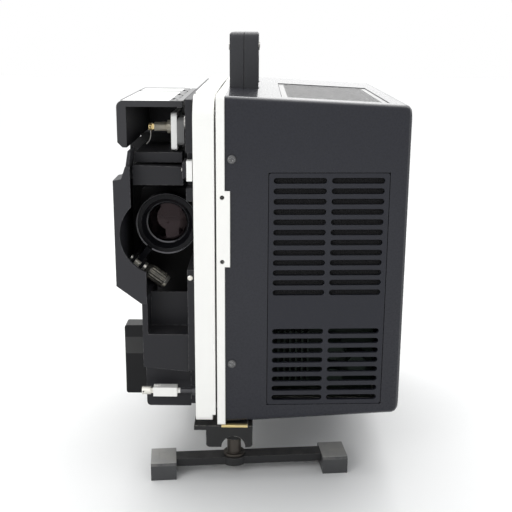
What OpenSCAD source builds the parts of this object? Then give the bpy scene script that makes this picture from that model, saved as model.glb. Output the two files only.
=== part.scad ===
// Portable sound film projector, lens towards -Y, reel arms folded.
// Frame: +X to the operator's right seen from the lens side, +Z up, origin on the table under the centre.

/* [Body] */
// Overall width, guard to cover
overall_w = 232.6; // [225:0.1:260]
// Overall depth
overall_d = 300; // [290:1:330]
// Height of the frame and cover
body_h = 266.7; // [260:0.1:290]
// Height of the frame's underside above the table
body_z = 54.7; // [52:0.1:70]
// Width of the cover on the motor side
cover_w = 144.6; // [140:0.1:160]
// Thickness of the cover-side frame
frame_t = 6.6; // [5:0.1:9]
// Dark gap between the two frames
frame_gap = 1.4; // [0.8:0.1:3]
// Thickness of the film-side frame and the supply arm
strip_t = 16.4; // [14:0.1:20]
// Thickness of the mechanism deck
deck_t = 5.8; // [5:0.1:8]
// Wall of the moulded shells
wall = 3; // [2.4:0.1:4]
// Mould draft of the cover
cover_draft = 2.8; // [1:0.1:3.5]
// Radius along the cover's edges
edge_r = 5.5; // [4:0.5:9]

/* [Fits] */
// Gap between pieces that pass each other
clear = 0.5; // [0.4:0.05:0.8]
// Radial clearance of shafts in bearings
run_fit = 0.05; // [0.02:0.01:0.08]
// Radial clearance of fixed pins and screws
seat_fit = 0.05; // [0.02:0.01:0.2]

/* [Louvres and grille] */
// Height of one slot
slot_h = 4.6; // [3:0.1:6]
// Distance between slot rows
slot_pitch = 8.24; // [7.5:0.01:9]
// Length of one slot
slot_len = 41.7; // [36:0.1:43]
// Gap between the two columns of slots
slot_col_gap = 3.7; // [3:0.1:6]
// Rows in the upper group
upper_rows = 12; // [6:1:12]
// Rows left out between the groups
blank_rows = 3; // [1:1:4]
// Rows in the lower group
lower_rows = 8; // [4:1:8]
// Left edge of the louvre panel from the cover's open side
louvre_x = 33.9; // [30:0.1:40]
// Height of the louvre panel's lower edge above the frame's underside
louvre_z = 14.3; // [12:0.1:18]
// Groove round the inset panels
panel_groove = 0.5; // [0.3:0.1:0.8]
// Top grille's left edge from the cover's open side
grille_x = 43.6; // [40:0.1:48]
// Top grille's width
grille_w = 85; // [60:1:88]
// Top grille's front edge behind the front plane
grille_y = 25; // [20:1:40]
// Top grille's length
grille_len = 176; // [120:1:180]

/* [Handle] */
// Width of the handle
handle_w = 24.8; // [20:0.1:28]
// Length of the handle
handle_len = 120; // [110:1:140]
// Rise of the handle above the body
handle_rise = 46.4; // [40:0.1:56]
// Front of the handle behind the front plane
handle_y = 104; // [90:1:120]
// Length of each handle post
post_len = 21; // [16:1:26]
// Depth of the grip
grip_t = 21; // [16:0.5:24]
// Cross pin radius
handle_pin_r = 3; // [2:0.1:4]

/* [Lens] */
// Lens axis above the frame's underside
lens_h = 156.1; // [150:0.1:165]
// Film centre line out from the deck
film_out = 20.5; // [20:0.1:24]
// Radius of the lens front ring
ring_r = 26; // [22:0.1:26]
// Length of the front ring
ring_len = 16; // [14:0.5:18]
// Radius of the sliding barrel
barrel_r = 17.4; // [15:0.1:17.6]
// Radius of the front glass
glass_r = 17.6; // [15:0.1:18]
// Radius of the rear glass
rear_glass_r = 13.9; // [12:0.1:14.5]
// Front of the lens behind the front plane
lens_y = 54; // [50:1:60]
// Barrel length behind the ring
barrel_len = 50; // [46:1:52]
// Focus travel each way
focus_travel = 6; // [3:0.5:6]
// Module of the focus rack
rack_m = 1; // [0.8:0.1:1]
// Teeth on the focus pinion
pinion_teeth = 12; // [11:1:13]
// Distance from the lens axis to the focus shaft
focus_r = 44.6; // [43:0.1:47]
// Angle of the focus shaft below the level
focus_tilt = 36.87; // [34:0.01:40]
// Focus knob radius
knob_r = 6.5; // [5:0.1:7]
// Focus knob length
knob_len = 22; // [16:0.5:24]

/* [Reel arms] */
// Depth of the supply arm, front to back
arm_w = 44; // [40:1:50]
// Radius of the supply arm's pivot pin
arm_pin_r = 5; // [4:0.1:7]
// Supply spindle above the frame's underside
supply_h = 19.5; // [16:0.1:26]
// Supply spindle behind the front plane
supply_y = 20; // [17:0.5:22]
// Radius of the supply spindle's shaft
shaft_r = 2.25; // [2:0.05:3]
// Side of the square reel seat
square_w = 8; // [7.5:0.1:8.2]
// Length of the square reel seat
square_len = 20; // [18:0.5:24]
// Take-up spindle above the frame's underside
take_up_h = 238.9; // [236:0.1:240]
// Take-up spindle behind the front plane
take_up_y = 45; // [40:1:60]
// Take-up arm pivot behind the front plane
take_up_pivot_y = 155; // [150:1:160]
// Radius of the take-up arm's pivot pin
take_up_pin_r = 6; // [5:0.1:7]
// Radius of the take-up spindle
take_up_r = 3.75; // [3.5:0.05:4]
// Thickness of the take-up arm
take_up_t = 4.7; // [4:0.1:6]

/* [Hood] */
// Hood width, outer wall to hinge line
hood_w = 44.7; // [42:0.1:48]
// Hood height
hood_h = 36.4; // [30:0.1:37]
// Hood roof thickness
hood_t = 4.6; // [4:0.1:5.5]
// Hood outer wall thickness
hood_wall = 7.5; // [5:0.1:9]
// Hood front behind the front plane
hood_y = 20; // [16:1:26]
// Hood length
hood_len = 148; // [140:1:152]

/* [Stand] */
// Radius of the elevator post
post_r = 6; // [5:0.1:6.4]
// Post centre from the cover's open side
post_x = 6.5; // [6.4:0.1:9]
// Post behind the front plane
post_y = 23; // [22:0.5:28]
// Travel of the elevator post
post_travel = 25; // [10:1:28]
// Foot pad width
pad_w = 21.5; // [18:0.5:24]
// Foot pad depth
pad_d = 31; // [26:0.5:32]
// Foot pad height
pad_h = 15; // [12:0.5:16]
// Reach of the foot bar to the left of the post
bar_left = 60.6; // [50:0.1:70]
// Reach of the foot bar to the right of the post
bar_right = 86.1; // [70:0.1:95]
// Turn of the foot bar at rest
bar_turn = 5.8; // [0:0.1:6]
// Foot bar width
bar_w = 14; // [10:0.5:16]
// Foot bar thickness
bar_t = 7; // [5:0.5:8]

/* [Drive] */
// Shutter disc radius
shutter_r = 78; // [75:0.5:80]
// Shutter shaft from the cover's open side
shutter_x = 20.3; // [20:0.1:22]
// Radius of the drive shafts
drive_r = 4; // [3:0.1:5]
// Motor pulley radius
motor_pulley_r = 9; // [8:0.5:11]
// Shutter pulley radius
shutter_pulley_r = 18; // [14:0.5:18]
// Motor radius
motor_r = 34; // [28:0.5:36]
// Motor length
motor_len = 72; // [60:1:74]
// Motor axis from the cover's open side
motor_x = 88.3; // [82:0.1:92]
// Motor axis above the frame's underside
motor_h = 70.3; // [66:0.1:76]
// Sprocket drum radius
sprocket_r = 14.5; // [13:0.1:14.6]
// Sprocket teeth
sprocket_teeth = 12; // [8:1:14]

/* [Hidden] */
$fn = 64;
eps = 0.01;
film_w = 16;

// Places across the width
x_left = -overall_w / 2;
x_right = overall_w / 2;
x_cover = x_right - cover_w;
x_frame = x_cover - frame_t;
x_arm_r = x_frame - frame_gap;
x_arm = x_arm_r - strip_t;
x_deck_r = x_arm - clear;
x_deck = x_deck_r - deck_t;
x_film = x_deck - film_out;

// Places front to back
y_front = -overall_d / 2;
y_rear = overall_d / 2;
y_cover = y_front + 1.8;
y_cover_rear = y_rear - 1.8;
y_arm_rear = y_front + arm_w;
y_lens = y_front + lens_y;
y_ring_rear = y_lens + ring_len;
y_barrel_rear = y_ring_rear + barrel_len;
y_focus = y_front + 62;
y_holder = y_ring_rear + focus_travel + 4;
y_gate = y_barrel_rear + focus_travel + 5;
y_shutter = y_gate + 14;
y_belt = y_shutter + 10;
y_lamp = y_shutter + 10;
y_deck_front = y_front + 10;
y_deck_rear = y_rear - 5;

// Heights
z_bottom = body_z;
z_top = body_z + body_h;
z_frame = body_z - 3.2;
z_cover = body_z - 2.1;
z_lens = body_z + lens_h;
z_deck_top = z_top - 3.4;
z_deck_low = body_z + 2.3;

// Cover walls measured along the drafted faces
draft_rise = tan(cover_draft);
wall_slant = wall / cos(cover_draft);

// Lens mounting
holder_len = 28;
bulk_y = y_holder + 18.4;
bulk_t = 2.4;
rack_pitch_r = rack_m * pinion_teeth / 2;
rack_len = 27;
rack_w = 5;
lug_gap = 0.6;
lug_t = 2.4;
knob_start = rack_w / 2 + lug_gap + lug_t + 0.4;

// Pivots
arm_pivot = [y_front + arm_w / 2, z_top - arm_w / 2];
supply_at = [y_front + supply_y, z_bottom + supply_h];
take_up_at = [y_front + take_up_y, z_bottom + take_up_h];
take_up_pivot = [y_front + take_up_pivot_y, take_up_at[1] - 0.6];
lever_at = [y_front + 16, z_bottom + 208.3];
lever_r = 8;
lever_pin_r = 1.5;

// Take-up arm stack, from the film side towards the deck
arm_plate_r = x_deck - 8.5;
arm_plate_l = arm_plate_r - take_up_t;
belt_cover_r = x_deck - 2.6;
arm_plate_low = take_up_at[1] - 17.6;
arm_plate_high = take_up_at[1] + 12.1;

// Hood
hood_top = take_up_at[1] + 22.4;
hood_low = hood_top - hood_h;
hinge_r = hood_t / 2;
hinge_pin_r = 1;
hinge_x = x_deck - 9.7;
hinge_z = hood_top - hinge_r;
hood_left = hinge_x - hood_w;
hood_front = y_front + hood_y;
hood_rear = hood_front + hood_len;
knuckle_len = 12;
knuckle_gap = 0.4;
panel_t = 0.8;
lip_t = 3.4;

// Film path shafts, as [y, z]
feed_at = [y_gate - 8, z_lens + 51.2];
hold_back_at = [y_gate - 8, z_lens - 60.8];
drum_at = [y_front + 50, z_lens - 69.8];
drum_r = 11;

// Controls on the deck
control_pad_t = 3;
function_at = [45, z_bottom + 55.3];
function_r = 23;
volume_at = [98, z_bottom + 55.3];
small_knob_r = 12;
control_shaft_r = 3;

// Guard, sound cover and boxes on the film side
guard_y = y_front + 9;
guard_len = 29;
guard_cut_r = 32.7;
sound_left = x_deck - 37.5;
sound_wall_t = 4.5;
drum_plate_t = 2.5;
sound_front = y_front + 12;
sound_top = z_bottom + 99.3;
sound_low = z_bottom + 39.7;
sound_mid = z_bottom + 72.3;
sound_rear = y_front + 80;
guide_left = x_deck - 43.4;
exit_top = z_bottom + 70.3;
exit_len = 16;
exit_link_t = 4;

// Lamp house
lamp_left = x_deck - 49;
lamp_low = z_lens - 45.8;
lamp_high = z_lens + 41.2;
lamp_len = 116;
door_t = 3;
door_pin_r = 1.5;
door_at = [lamp_left - door_t / 2, y_lamp + lamp_len + 2.6];

// Drive places
shutter_at = [x_cover + shutter_x, z_lens];
motor_at = [x_cover + motor_x, z_bottom + motor_h];
belt_w = 6;
belt_t = 2.5;
y_motor = y_belt + 22;
plate_z = z_cover + wall_slant + (cover_w - 16) * draft_rise + 0.5;
plate_t = 2;
y_board = y_front + 52;

// Stand
post_at = [x_cover + post_x, y_front + post_y];
bracket_low = body_z - 24.7;
strip_h = 2;
bar_low = pad_h - bar_t;
swivel_r = 4;
flange_t = 2;
rear_bar_y = y_rear - 34;
rear_reach = 75;

// Screw places on the cover, as heights above the frame's underside
screw_h = [218.8, 51.1];
screw_in = 5.4;
screw_r = 1.7;
screw_head_r = 3.4;
tab_screw_h = [189.1, 137.5];
tab_h = [194.3, 133.3];

// Points along an arc
function arc(c, r, a0, a1, n = 8) =
  [for (i = [0 : n]) let (a = a0 + (a1 - a0) * i / n) [c[0] + r * cos(a), c[1] + r * sin(a)]];

// Outline of a rectangle with one radius per corner: low left, low right, high right, high left
function rounded(lo, hi, r) = concat(
  arc([lo[0] + r[0], lo[1] + r[0]], r[0], 180, 270),
  arc([hi[0] - r[1], lo[1] + r[1]], r[1], 270, 360),
  arc([hi[0] - r[2], hi[1] - r[2]], r[2], 0, 90),
  arc([lo[0] + r[3], hi[1] - r[3]], r[3], 90, 180));

// Outline of a slot with round ends
function slot(lo, len, h) = concat(
  arc([lo[0] + h / 2, lo[1] + h / 2], h / 2, 90, 270, 6),
  arc([lo[0] + len - h / 2, lo[1] + h / 2], h / 2, -90, 90, 6));

module box(lo, hi) { translate(lo) cube(hi - lo); }
module rod_x(at, x0, x1, r) { translate([x0, at[0], at[1]]) rotate([0, 90, 0]) cylinder(r = r, h = x1 - x0); }
module rod_y(at, y0, y1, r) { translate([at[0], y0, at[1]]) rotate([-90, 0, 0]) cylinder(r = r, h = y1 - y0); }
module rod_z(at, z0, z1, r) { translate([at[0], at[1], z0]) cylinder(r = r, h = z1 - z0); }

// A flat outline given as [y, z], [x, z] or [x, y], made thick along the third axis
module plate_x(x0, x1) { translate([x0, 0, 0]) rotate([90, 0, 90]) linear_extrude(x1 - x0) children(); }
module plate_y(y0, y1) { translate([0, y1, 0]) rotate([90, 0, 0]) linear_extrude(y1 - y0) children(); }
module plate_z(z0, z1) { translate([0, 0, z0]) linear_extrude(z1 - z0) children(); }

// A turned piece: profile as [radius, distance along +Y]
module turned_y(at, y0) { translate([at[0], y0, at[1]]) rotate([-90, 0, 0]) rotate_extrude() children(); }
// A turned piece along -X, from x0 outwards
module turned_x(at, x0) { translate([x0, at[0], at[1]]) rotate([0, -90, 0]) rotate_extrude() children(); }

// Local frames of the cover's drafted faces: X along the face, the other axis into the cover
module on_front() { translate([x_cover, y_cover, 0]) rotate([0, 0, cover_draft]) children(); }
module on_rear() { translate([x_cover, y_cover_rear, 0]) rotate([0, 0, -cover_draft]) children(); }
module on_top() { translate([x_cover, 0, z_top]) rotate([0, cover_draft, 0]) children(); }

// Local frame of the focus rack: X out from the lens axis, Y front to back, Z along the focus shaft
module on_rack() { translate([x_film, y_focus, z_lens]) rotate([0, 90 + focus_tilt, 0]) children(); }

// One slice of the cover: inset from the drafted outline
module cover_slice(x, inset, r) {
  lean = (x - x_cover) * draft_rise + inset;
  plate_x(x, x + eps)
    polygon(rounded([y_cover + lean, z_cover + lean], [y_cover_rear - lean, z_top - lean], [r, r, r, r]));
}

// The drafted tub as a solid, its far edge rounded
module cover_solid(inset, near, far, r) {
  hull() {
    cover_slice(near, inset, r);
    for (a = [0 : 30 : 90])
      cover_slice(far - r + r * sin(a) - eps, inset + r * (1 - cos(a)), r);
  }
}

module handle_posts(grow) {
  for (y = [y_front + handle_y, y_front + handle_y + handle_len - post_len])
    box([x_cover - 1, y - grow, z_top - 16], [x_cover + handle_w + 0.2 + grow, y + post_len + grow, z_top + 5]);
}

module motor_cover() {
  color([0.09, 0.09, 0.1]) difference() {
    cover_solid(0, x_cover, x_right, edge_r);
    cover_solid(wall_slant, x_cover - 1, x_right - wall, edge_r - wall);
    on_front() box([louvre_x, -1, louvre_z + z_bottom], [louvre_x + louvre_w, 2 * wall, louvre_z + z_bottom + louvre_h]);
    on_top() box([grille_x, y_front + grille_y, -2 * wall], [grille_x + grille_w, y_front + grille_y + grille_len, 1]);
    handle_posts(clear);
    for (h = screw_h) {
      rod_y([x_cover + screw_in, z_bottom + h], y_front - 1, y_front + 12, screw_r + seat_fit);
      rod_y([x_cover + screw_in, z_bottom + h], y_rear - 12, y_rear + 1, screw_r + seat_fit);
    }
    rod_z(post_at, 0, z_bottom + 20, post_r + clear);
    box([x_cover - 1, post_at[1] - post_r - clear, 0], [post_at[0], post_at[1] + post_r + clear, z_bottom + 20]);
    on_rear() box([inlet_x - inlet_w / 2, -2 * wall, inlet_z - inlet_h / 2], [inlet_x + inlet_w / 2, 1, inlet_z + inlet_h / 2]);
  }
}

// Louvre panel sizes follow the slots
slot_margin = 4.1;
louvre_w = 2 * slot_len + slot_col_gap + 2 * slot_margin;
total_rows = upper_rows + blank_rows + lower_rows;
louvre_h = (total_rows - 1) * slot_pitch + slot_h + 2 * slot_margin;
louvre_flange = 4;
flange_back = 2;

module slot_rows(first, count) {
  for (i = [first : first + count - 1], c = [0, 1])
    polygon(slot([louvre_x + slot_margin + c * (slot_len + slot_col_gap),
      z_bottom + louvre_z + louvre_h - slot_margin - slot_h - i * slot_pitch], slot_len, slot_h));
}

module front_louvre() {
  lo = [louvre_x, z_bottom + louvre_z];
  hi = lo + [louvre_w, louvre_h];
  g = panel_groove;
  f = louvre_flange;
  color([0.07, 0.07, 0.08]) on_front() {
    plate_y(0, wall) difference() {
      polygon(rounded(lo + [g, g], hi - [g, g], [2, 2, 2, 2]));
      slot_rows(0, upper_rows);
      slot_rows(upper_rows + blank_rows, lower_rows);
    }
    plate_y(wall, wall + flange_back) difference() {
      polygon(rounded(lo - [f, f], hi + [f, f], [2, 2, 2, 2]));
      polygon(rounded(lo + [2, 2], hi - [2, 2], [1, 1, 1, 1]));
    }
  }
}

cloth_t = 0.8;
speaker_r = 40;
speaker_at = [louvre_x + louvre_w / 2, z_bottom + louvre_z + louvre_h - 54];

module speaker_cloth() {
  top = z_bottom + louvre_z + louvre_h - 3;
  color([0.12, 0.12, 0.12]) on_front()
    box([louvre_x + 3, wall, top - upper_rows * slot_pitch - 2], [louvre_x + louvre_w - 3, wall + cloth_t, top]);
}

module speaker() {
  color([0.2, 0.2, 0.21]) on_front()
    turned_y(speaker_at, wall + cloth_t)
      polygon([[speaker_r - 6, 0], [speaker_r, 0], [speaker_r, 2], [speaker_r - 5, 3], [20, 20], [20, 36],
        [0, 36], [0, 16], [9, 14], [14, 16], [speaker_r - 7, 2]]);
}

module top_grille() {
  lo = [grille_x, y_front + grille_y];
  hi = lo + [grille_w, grille_len];
  g = panel_groove;
  bar = 2.4;
  gap = 3.2;
  count = floor((grille_len - 12) / (bar + gap));
  color([0.16, 0.16, 0.17]) on_top() {
    plate_z(-wall, -0.6) difference() {
      polygon(rounded(lo + [g, g], hi - [g, g], [2, 2, 2, 2]));
      for (i = [0 : count - 1])
        translate([lo[0] + 5, lo[1] + 6 + i * (bar + gap)]) square([grille_w - 10, gap]);
    }
    plate_z(-wall - flange_back, -wall) difference() {
      polygon(rounded(lo - [4, 4], hi + [4, 4], [2, 2, 2, 2]));
      polygon(rounded(lo + [4, 4], hi - [4, 4], [1, 1, 1, 1]));
    }
  }
}

// Carrying handle: side view as [y, z], cut from a chamfered end view
handle_seam = 0.3;
handle_mid = x_cover + 0.2 + handle_w / 2;
handle_low = z_top - 9.4;

module handle_half(side) {
  y0 = y_front + handle_y;
  y1 = y0 + handle_len;
  z1 = z_top + handle_rise;
  half = handle_w / 2;
  cut = 1.6;
  difference() {
    intersection() {
      plate_x(handle_mid - half, handle_mid + half) difference() {
        polygon(rounded([y0, handle_low], [y1, z1], [1, 1, 6, 6]));
        polygon(rounded([y0 + post_len, handle_low - 1], [y1 - post_len, z1 - grip_t], [0.5, 0.5, 8, 8]));
      }
      plate_y(y0 - 1, y1 + 1) translate([handle_mid, 0])
        polygon(side < 0
          ? [[-half, handle_low], [-handle_seam / 2, handle_low], [-handle_seam / 2, z1], [-half + cut, z1], [-half, z1 - cut]]
          : [[handle_seam / 2, handle_low], [half, handle_low], [half, z1 - cut], [half - cut, z1], [handle_seam / 2, z1]]);
    }
    for (y = handle_pin_y)
      rod_x([y, handle_pin_z], x_cover - 2, x_cover + handle_w + 2, handle_pin_r + seat_fit);
  }
}

handle_pin_y = [y_front + handle_y + post_len / 2, y_front + handle_y + handle_len - post_len / 2];
handle_pin_z = z_top + 34.3;

module handle_left() { color([0.1, 0.1, 0.1]) handle_half(-1); }
module handle_right() { color([0.1, 0.1, 0.1]) handle_half(1); }

module handle_pins() {
  color([0.25, 0.25, 0.26]) for (y = handle_pin_y)
    rod_x([y, handle_pin_z], x_cover + 0.2 - 0.9, x_cover + handle_w + 1.1, handle_pin_r);
}

// Pan-head screw along -Y direction of its head, with a cross recess
module pan_screw(at, y, turn, len) {
  translate([at[0], y, at[1]]) rotate([0, 0, turn]) difference() {
    union() {
      rotate([90, 0, 0]) rotate_extrude()
        polygon(concat([[0, 0], [screw_head_r, 0]], arc([screw_head_r - 1.1, 0.4], 1.1, 0, 80, 5), [[0, 1.6]]));
      rotate([-90, 0, 0]) cylinder(r = screw_r, h = len);
    }
    for (a = [0, 90]) rotate([0, a, 0]) translate([-0.5, -3, -1.9]) cube([1, 2, 3.8]);
  }
}

module case_screws() {
  color([0.7, 0.7, 0.68]) {
    for (h = screw_h) {
      pan_screw([x_cover + screw_in, z_bottom + h], y_cover + (screw_in - screw_head_r) * draft_rise - 0.02, 0, 8.6);
      pan_screw([x_cover + screw_in, z_bottom + h], y_cover_rear - (screw_in - screw_head_r) * draft_rise + 0.02, 180, 8.6);
    }
    for (h = tab_screw_h)
      difference() {
        rod_y([tab_screw_x, z_bottom + h], y_front + 1.4, y_front + 6, screw_r);
        box([tab_screw_x - 2, y_front, z_bottom + h - 0.35], [tab_screw_x + 2, y_front + 2, z_bottom + h + 0.35]);
      }
  }
}

tab_screw_x = x_cover - 2;
tab_out = 4.2;
shelf_t = 4;

// Ivory frame next to the cover; it carries the handle, the shutter bearing and the cover
module cover_side_frame() {
  color([0.9, 0.89, 0.82]) difference() {
    union() {
      plate_x(x_frame, x_cover)
        polygon(rounded([y_front, z_frame], [y_rear, z_top], [3, edge_r, edge_r, 3]));
      box([x_cover - 1, y_front, z_bottom + tab_h[1]], [x_cover + tab_out, y_front + 1.2, z_bottom + tab_h[0]]);
      for (h = screw_h) {
        box([x_cover - 1, y_cover + wall_slant + 0.7, z_bottom + h - 6], [x_cover + 11, y_cover + 12, z_bottom + h + 6]);
        box([x_cover - 1, y_cover_rear - 12, z_bottom + h - 6], [x_cover + 11, y_cover_rear - wall_slant - 0.7, z_bottom + h + 6]);
      }
      for (y = [y_front + handle_y, y_front + handle_y + handle_len - post_len])
        box([x_cover - 1, y - 2, handle_low - shelf_t], [x_cover + handle_w + 2, y + post_len + 2, handle_low]);
      box([x_cover - 1, y_belt + 14, shutter_at[1] - 12], [shutter_at[0] + 9, y_belt + 44, shutter_at[1] + 12]);
    }
    for (h = screw_h)
      rod_y([x_cover + screw_in, z_bottom + h], y_front - 1, y_rear + 1, screw_r + seat_fit);
    for (h = tab_screw_h)
      rod_y([tab_screw_x, z_bottom + h], y_front - 1, y_front + 6, screw_r + seat_fit);
    rod_y(shutter_at, y_belt, y_belt + 60, drive_r + run_fit);
    box([x_frame - 1, y_shutter - 3, z_lens - shutter_r - 2], [x_cover + 1, y_shutter + 5, z_lens + shutter_r + 2]);
    rod_x(arm_pivot, x_frame - 1, x_cover + 1, arm_pin_r + seat_fit);
    for (at = [feed_at, hold_back_at]) rod_x(at, x_frame - 1, x_cover + 1, drive_r + clear);
  }
}

frame_web = 3;
frame_rim = 5;
boss_r = 6;
boss_at = [for (y = [y_arm_rear + 16, y_deck_rear - 14], z = [z_bottom + 14, z_top - 14]) [y, z]];

// Ivory frame behind the folded supply arm, hollow towards the other frame
module film_side_frame() {
  y0 = y_arm_rear + clear;
  color([0.9, 0.89, 0.82]) difference() {
    union() {
      difference() {
        plate_x(x_deck_r, x_arm_r) polygon(rounded([y0, z_bottom], [y_deck_rear, z_top], [2, edge_r, edge_r, 2]));
        plate_x(x_deck_r + frame_web, x_arm_r + 1)
          polygon(rounded([y0 + frame_rim, z_bottom + frame_rim], [y_deck_rear - frame_rim, z_top - frame_rim], [3, 3, 3, 3]));
      }
      for (at = boss_at) rod_x(at, x_deck_r + frame_web - 1, x_frame, boss_r);
    }
    box([x_deck_r - 1, y_shutter - 3, z_lens - shutter_r - 2], [x_arm_r + 1, y_shutter + 5, z_lens + shutter_r + 2]);
    for (at = [feed_at, hold_back_at]) rod_x(at, x_deck_r - 1, x_arm_r, drive_r + clear);
  }
}

deck_slot_h = shutter_r - 12;

// Deck plate on the film side, with the lens notch, the lever bracket and the control pad
module mechanism_deck() {
  notch = ring_r + 2;
  bracket_x = x_deck - 2.9;
  color([0.15, 0.15, 0.16]) difference() {
    union() {
      plate_x(x_deck, x_deck_r) polygon([
        [y_front + 32, z_deck_low], [y_deck_rear, z_deck_low], [y_deck_rear, z_deck_top], [y_deck_front, z_deck_top],
        [y_deck_front, lever_at[1] + 14], [y_front + 27, lever_at[1] + 14], [y_front + 27, lever_at[1] - 14],
        [y_deck_front, lever_at[1] - 14], [y_deck_front, z_lens + notch],
        [y_ring_rear + focus_travel + 1.5, z_lens + notch], [y_ring_rear + focus_travel + 1.5, z_lens - notch],
        [y_deck_front, z_lens - notch], [y_deck_front, sound_low + 2], [y_front + 32, sound_low + 2]]);
      box([bracket_x, lever_at[0] - 5, lever_at[1] - 6], [x_deck + eps, y_front + 40, lever_at[1] + 6]);
      box([x_deck - control_pad_t, 10, z_deck_low + 8], [x_deck + 1, 130, z_deck_low + 94]);
    }
    box([x_deck - 1, y_shutter - 3, z_lens - deck_slot_h], [x_deck_r + 1, y_shutter + 5, z_lens + deck_slot_h]);
    for (at = [feed_at, hold_back_at]) rod_x(at, x_deck - 5, x_deck_r + 1, drive_r + run_fit);
    rod_x(drum_at, x_deck - 5, x_deck_r + 1, control_shaft_r + run_fit);
    for (at = [function_at, volume_at]) rod_x(at, x_deck - 5, x_deck_r + 1, control_shaft_r + run_fit);
    rod_x(arm_pivot, x_deck - 5, x_deck_r + 1, arm_pin_r + seat_fit);
    rod_x(take_up_pivot, x_deck - 5, x_deck_r + 1, take_up_pin_r + seat_fit);
    rod_x(lever_at, bracket_x - 1, x_deck + 1, lever_pin_r + seat_fit);
  }
}

// Guard round the lens: a face with a round cut-out, and a rim and side wall running back from its outer edge
module lens_guard() {
  left = x_left;
  foot = sound_left + sound_wall_t;
  base = sound_top + 0.1;
  rim = 3;
  side_t = 2;
  edge = [[foot, base], [sound_left, base], [left, z_lens - 41.8], [left, z_lens + 44.2], [left + 6.5, z_lens + 45.4],
    [left + 10, z_lens + 55.2]];
  back = guard_y + guard_len;
  color([0.2, 0.2, 0.21]) {
    plate_y(guard_y, guard_y + wall) difference() {
      polygon(concat(edge, [[guide_left - 0.4, z_lens + 55.2], [guide_left - 0.4, z_lens], [foot, z_lens]]));
      translate([x_film, z_lens]) circle(r = guard_cut_r);
    }
    plate_y(guard_y + wall - eps, back) polygon(concat(edge, [[guide_left - 2, z_lens + 67], [guide_left, z_lens + 67],
      [guide_left, z_lens + 67 - rim], [left + 12.6, z_lens + 54.4], [left + 9, z_lens + 42.6], [left + rim, z_lens + 41.6],
      [left + rim, z_lens - 40], [sound_left + 1, base + rim], [foot, base + rim]]));
    plate_y(back - eps, bulk_y - 0.1) polygon([[foot, base], [sound_left, base], [left, z_lens - 41.8], [left, z_lens + 41.6],
      [left + side_t, z_lens + 41.6], [left + side_t, z_lens - 40.5], [sound_left + 1, base + side_t], [foot, base + side_t]]);
    box([left + 8, back - 6, z_lens + 42], [guide_left, back, z_lens + 50]);
  }
}

// Film plate and loop block above the lens, joined by a web at the deck
module upper_film_guide() {
  y_plate = y_front + 30;
  y_block = y_front + 22;
  z_plate = z_bottom + 211.8;
  z_block = z_bottom + 194.8;
  slope = 1.2;
  color([0.13, 0.13, 0.14]) {
    box([guide_left + 0.8, y_plate, z_plate], [x_deck - 4.4, y_plate + 68, z_plate + 8.1]);
    plate_y(y_block, y_block + 58)
      polygon([[guide_left, z_block], [x_deck - 3.2, z_block], [x_deck - 3.2, z_block + 15.9 - slope], [guide_left, z_block + 15.9]]);
    box([x_deck - 14, y_front + 44, z_block], [x_deck, y_block + 58, z_plate + 8.1]);
  }
}

// Cover of the sound head: low front box with a taller outer wall and a plate before the drum
module sound_cover() {
  y0 = sound_front;
  color([0.12, 0.12, 0.13]) {
    plate_y(y0, y0 + wall) polygon([[sound_left, sound_low + 4], [x_deck, sound_low], [x_deck, sound_mid],
      [sound_left + sound_wall_t, sound_mid], [sound_left + sound_wall_t, sound_top], [sound_left, sound_top]]);
    box([sound_left, y0 + wall - eps, sound_low + 4], [sound_left + sound_wall_t, sound_rear, sound_top]);
    box([sound_left + sound_wall_t - eps, y0 + wall - eps, sound_mid - wall], [x_deck, y0 + 30, sound_mid]);
    box([sound_left + sound_wall_t - eps, drum_at[0] - drum_r - 1 - drum_plate_t, sound_mid - eps],
      [x_deck, drum_at[0] - drum_r - 1, sound_mid + 29.5]);
    plate_y(y0 + wall - eps, sound_rear) polygon([[sound_left + sound_wall_t - eps, sound_low + 3.5], [x_deck, sound_low],
      [x_deck, sound_low + wall], [sound_left + sound_wall_t - eps, sound_low + wall + 3.5]]);
  }
}

// Glossy box low on the outer side, joined to the deck behind the sound head
module exit_box() {
  left = x_left + 0.4;
  right = sound_left - 0.2;
  y0 = y_front + 40;
  z0 = z_bottom + 8.3;
  z1 = exit_top;
  back = sound_rear + 4;
  color([0.05, 0.05, 0.05]) difference() {
    union() {
      plate_y(y0, y0 + exit_len) polygon(rounded([left, z0], [right, z1], [2, 1, 1, 2]));
      box([right - exit_link_t, y0 + exit_len - 1, z0], [right, back + 16, z1]);
      box([right - 1, back, z0], [x_deck, back + 16, z1]);
    }
    box([left + wall, y0 + wall, z0 + wall], [right - exit_link_t, y0 + exit_len + 1, z1 - wall]);
    box([right + 2, back + wall, z0 + wall], [x_deck - wall, back + 17, z1 - wall]);
  }
}

// Tray under the film side, with a front wall rounded at its outer corner
module base_tray() {
  left = x_deck - 38.2;
  y0 = y_front + 32;
  z0 = z_bottom + 0.3;
  color([0.1, 0.1, 0.11]) {
    plate_y(y0, y0 + 6) polygon(rounded([left, z0], [x_deck, sound_low - 0.4], [3.5, 0.5, 0.5, 2]));
    box([left + 10, y0 + 6 - eps, z0], [x_deck, y_deck_rear, z0 + wall]);
    box([left + 10, y0 + 6 - eps, z0 + wall - eps], [left + 10 + wall, y_deck_rear, z0 + 5.4]);
  }
}

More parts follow.
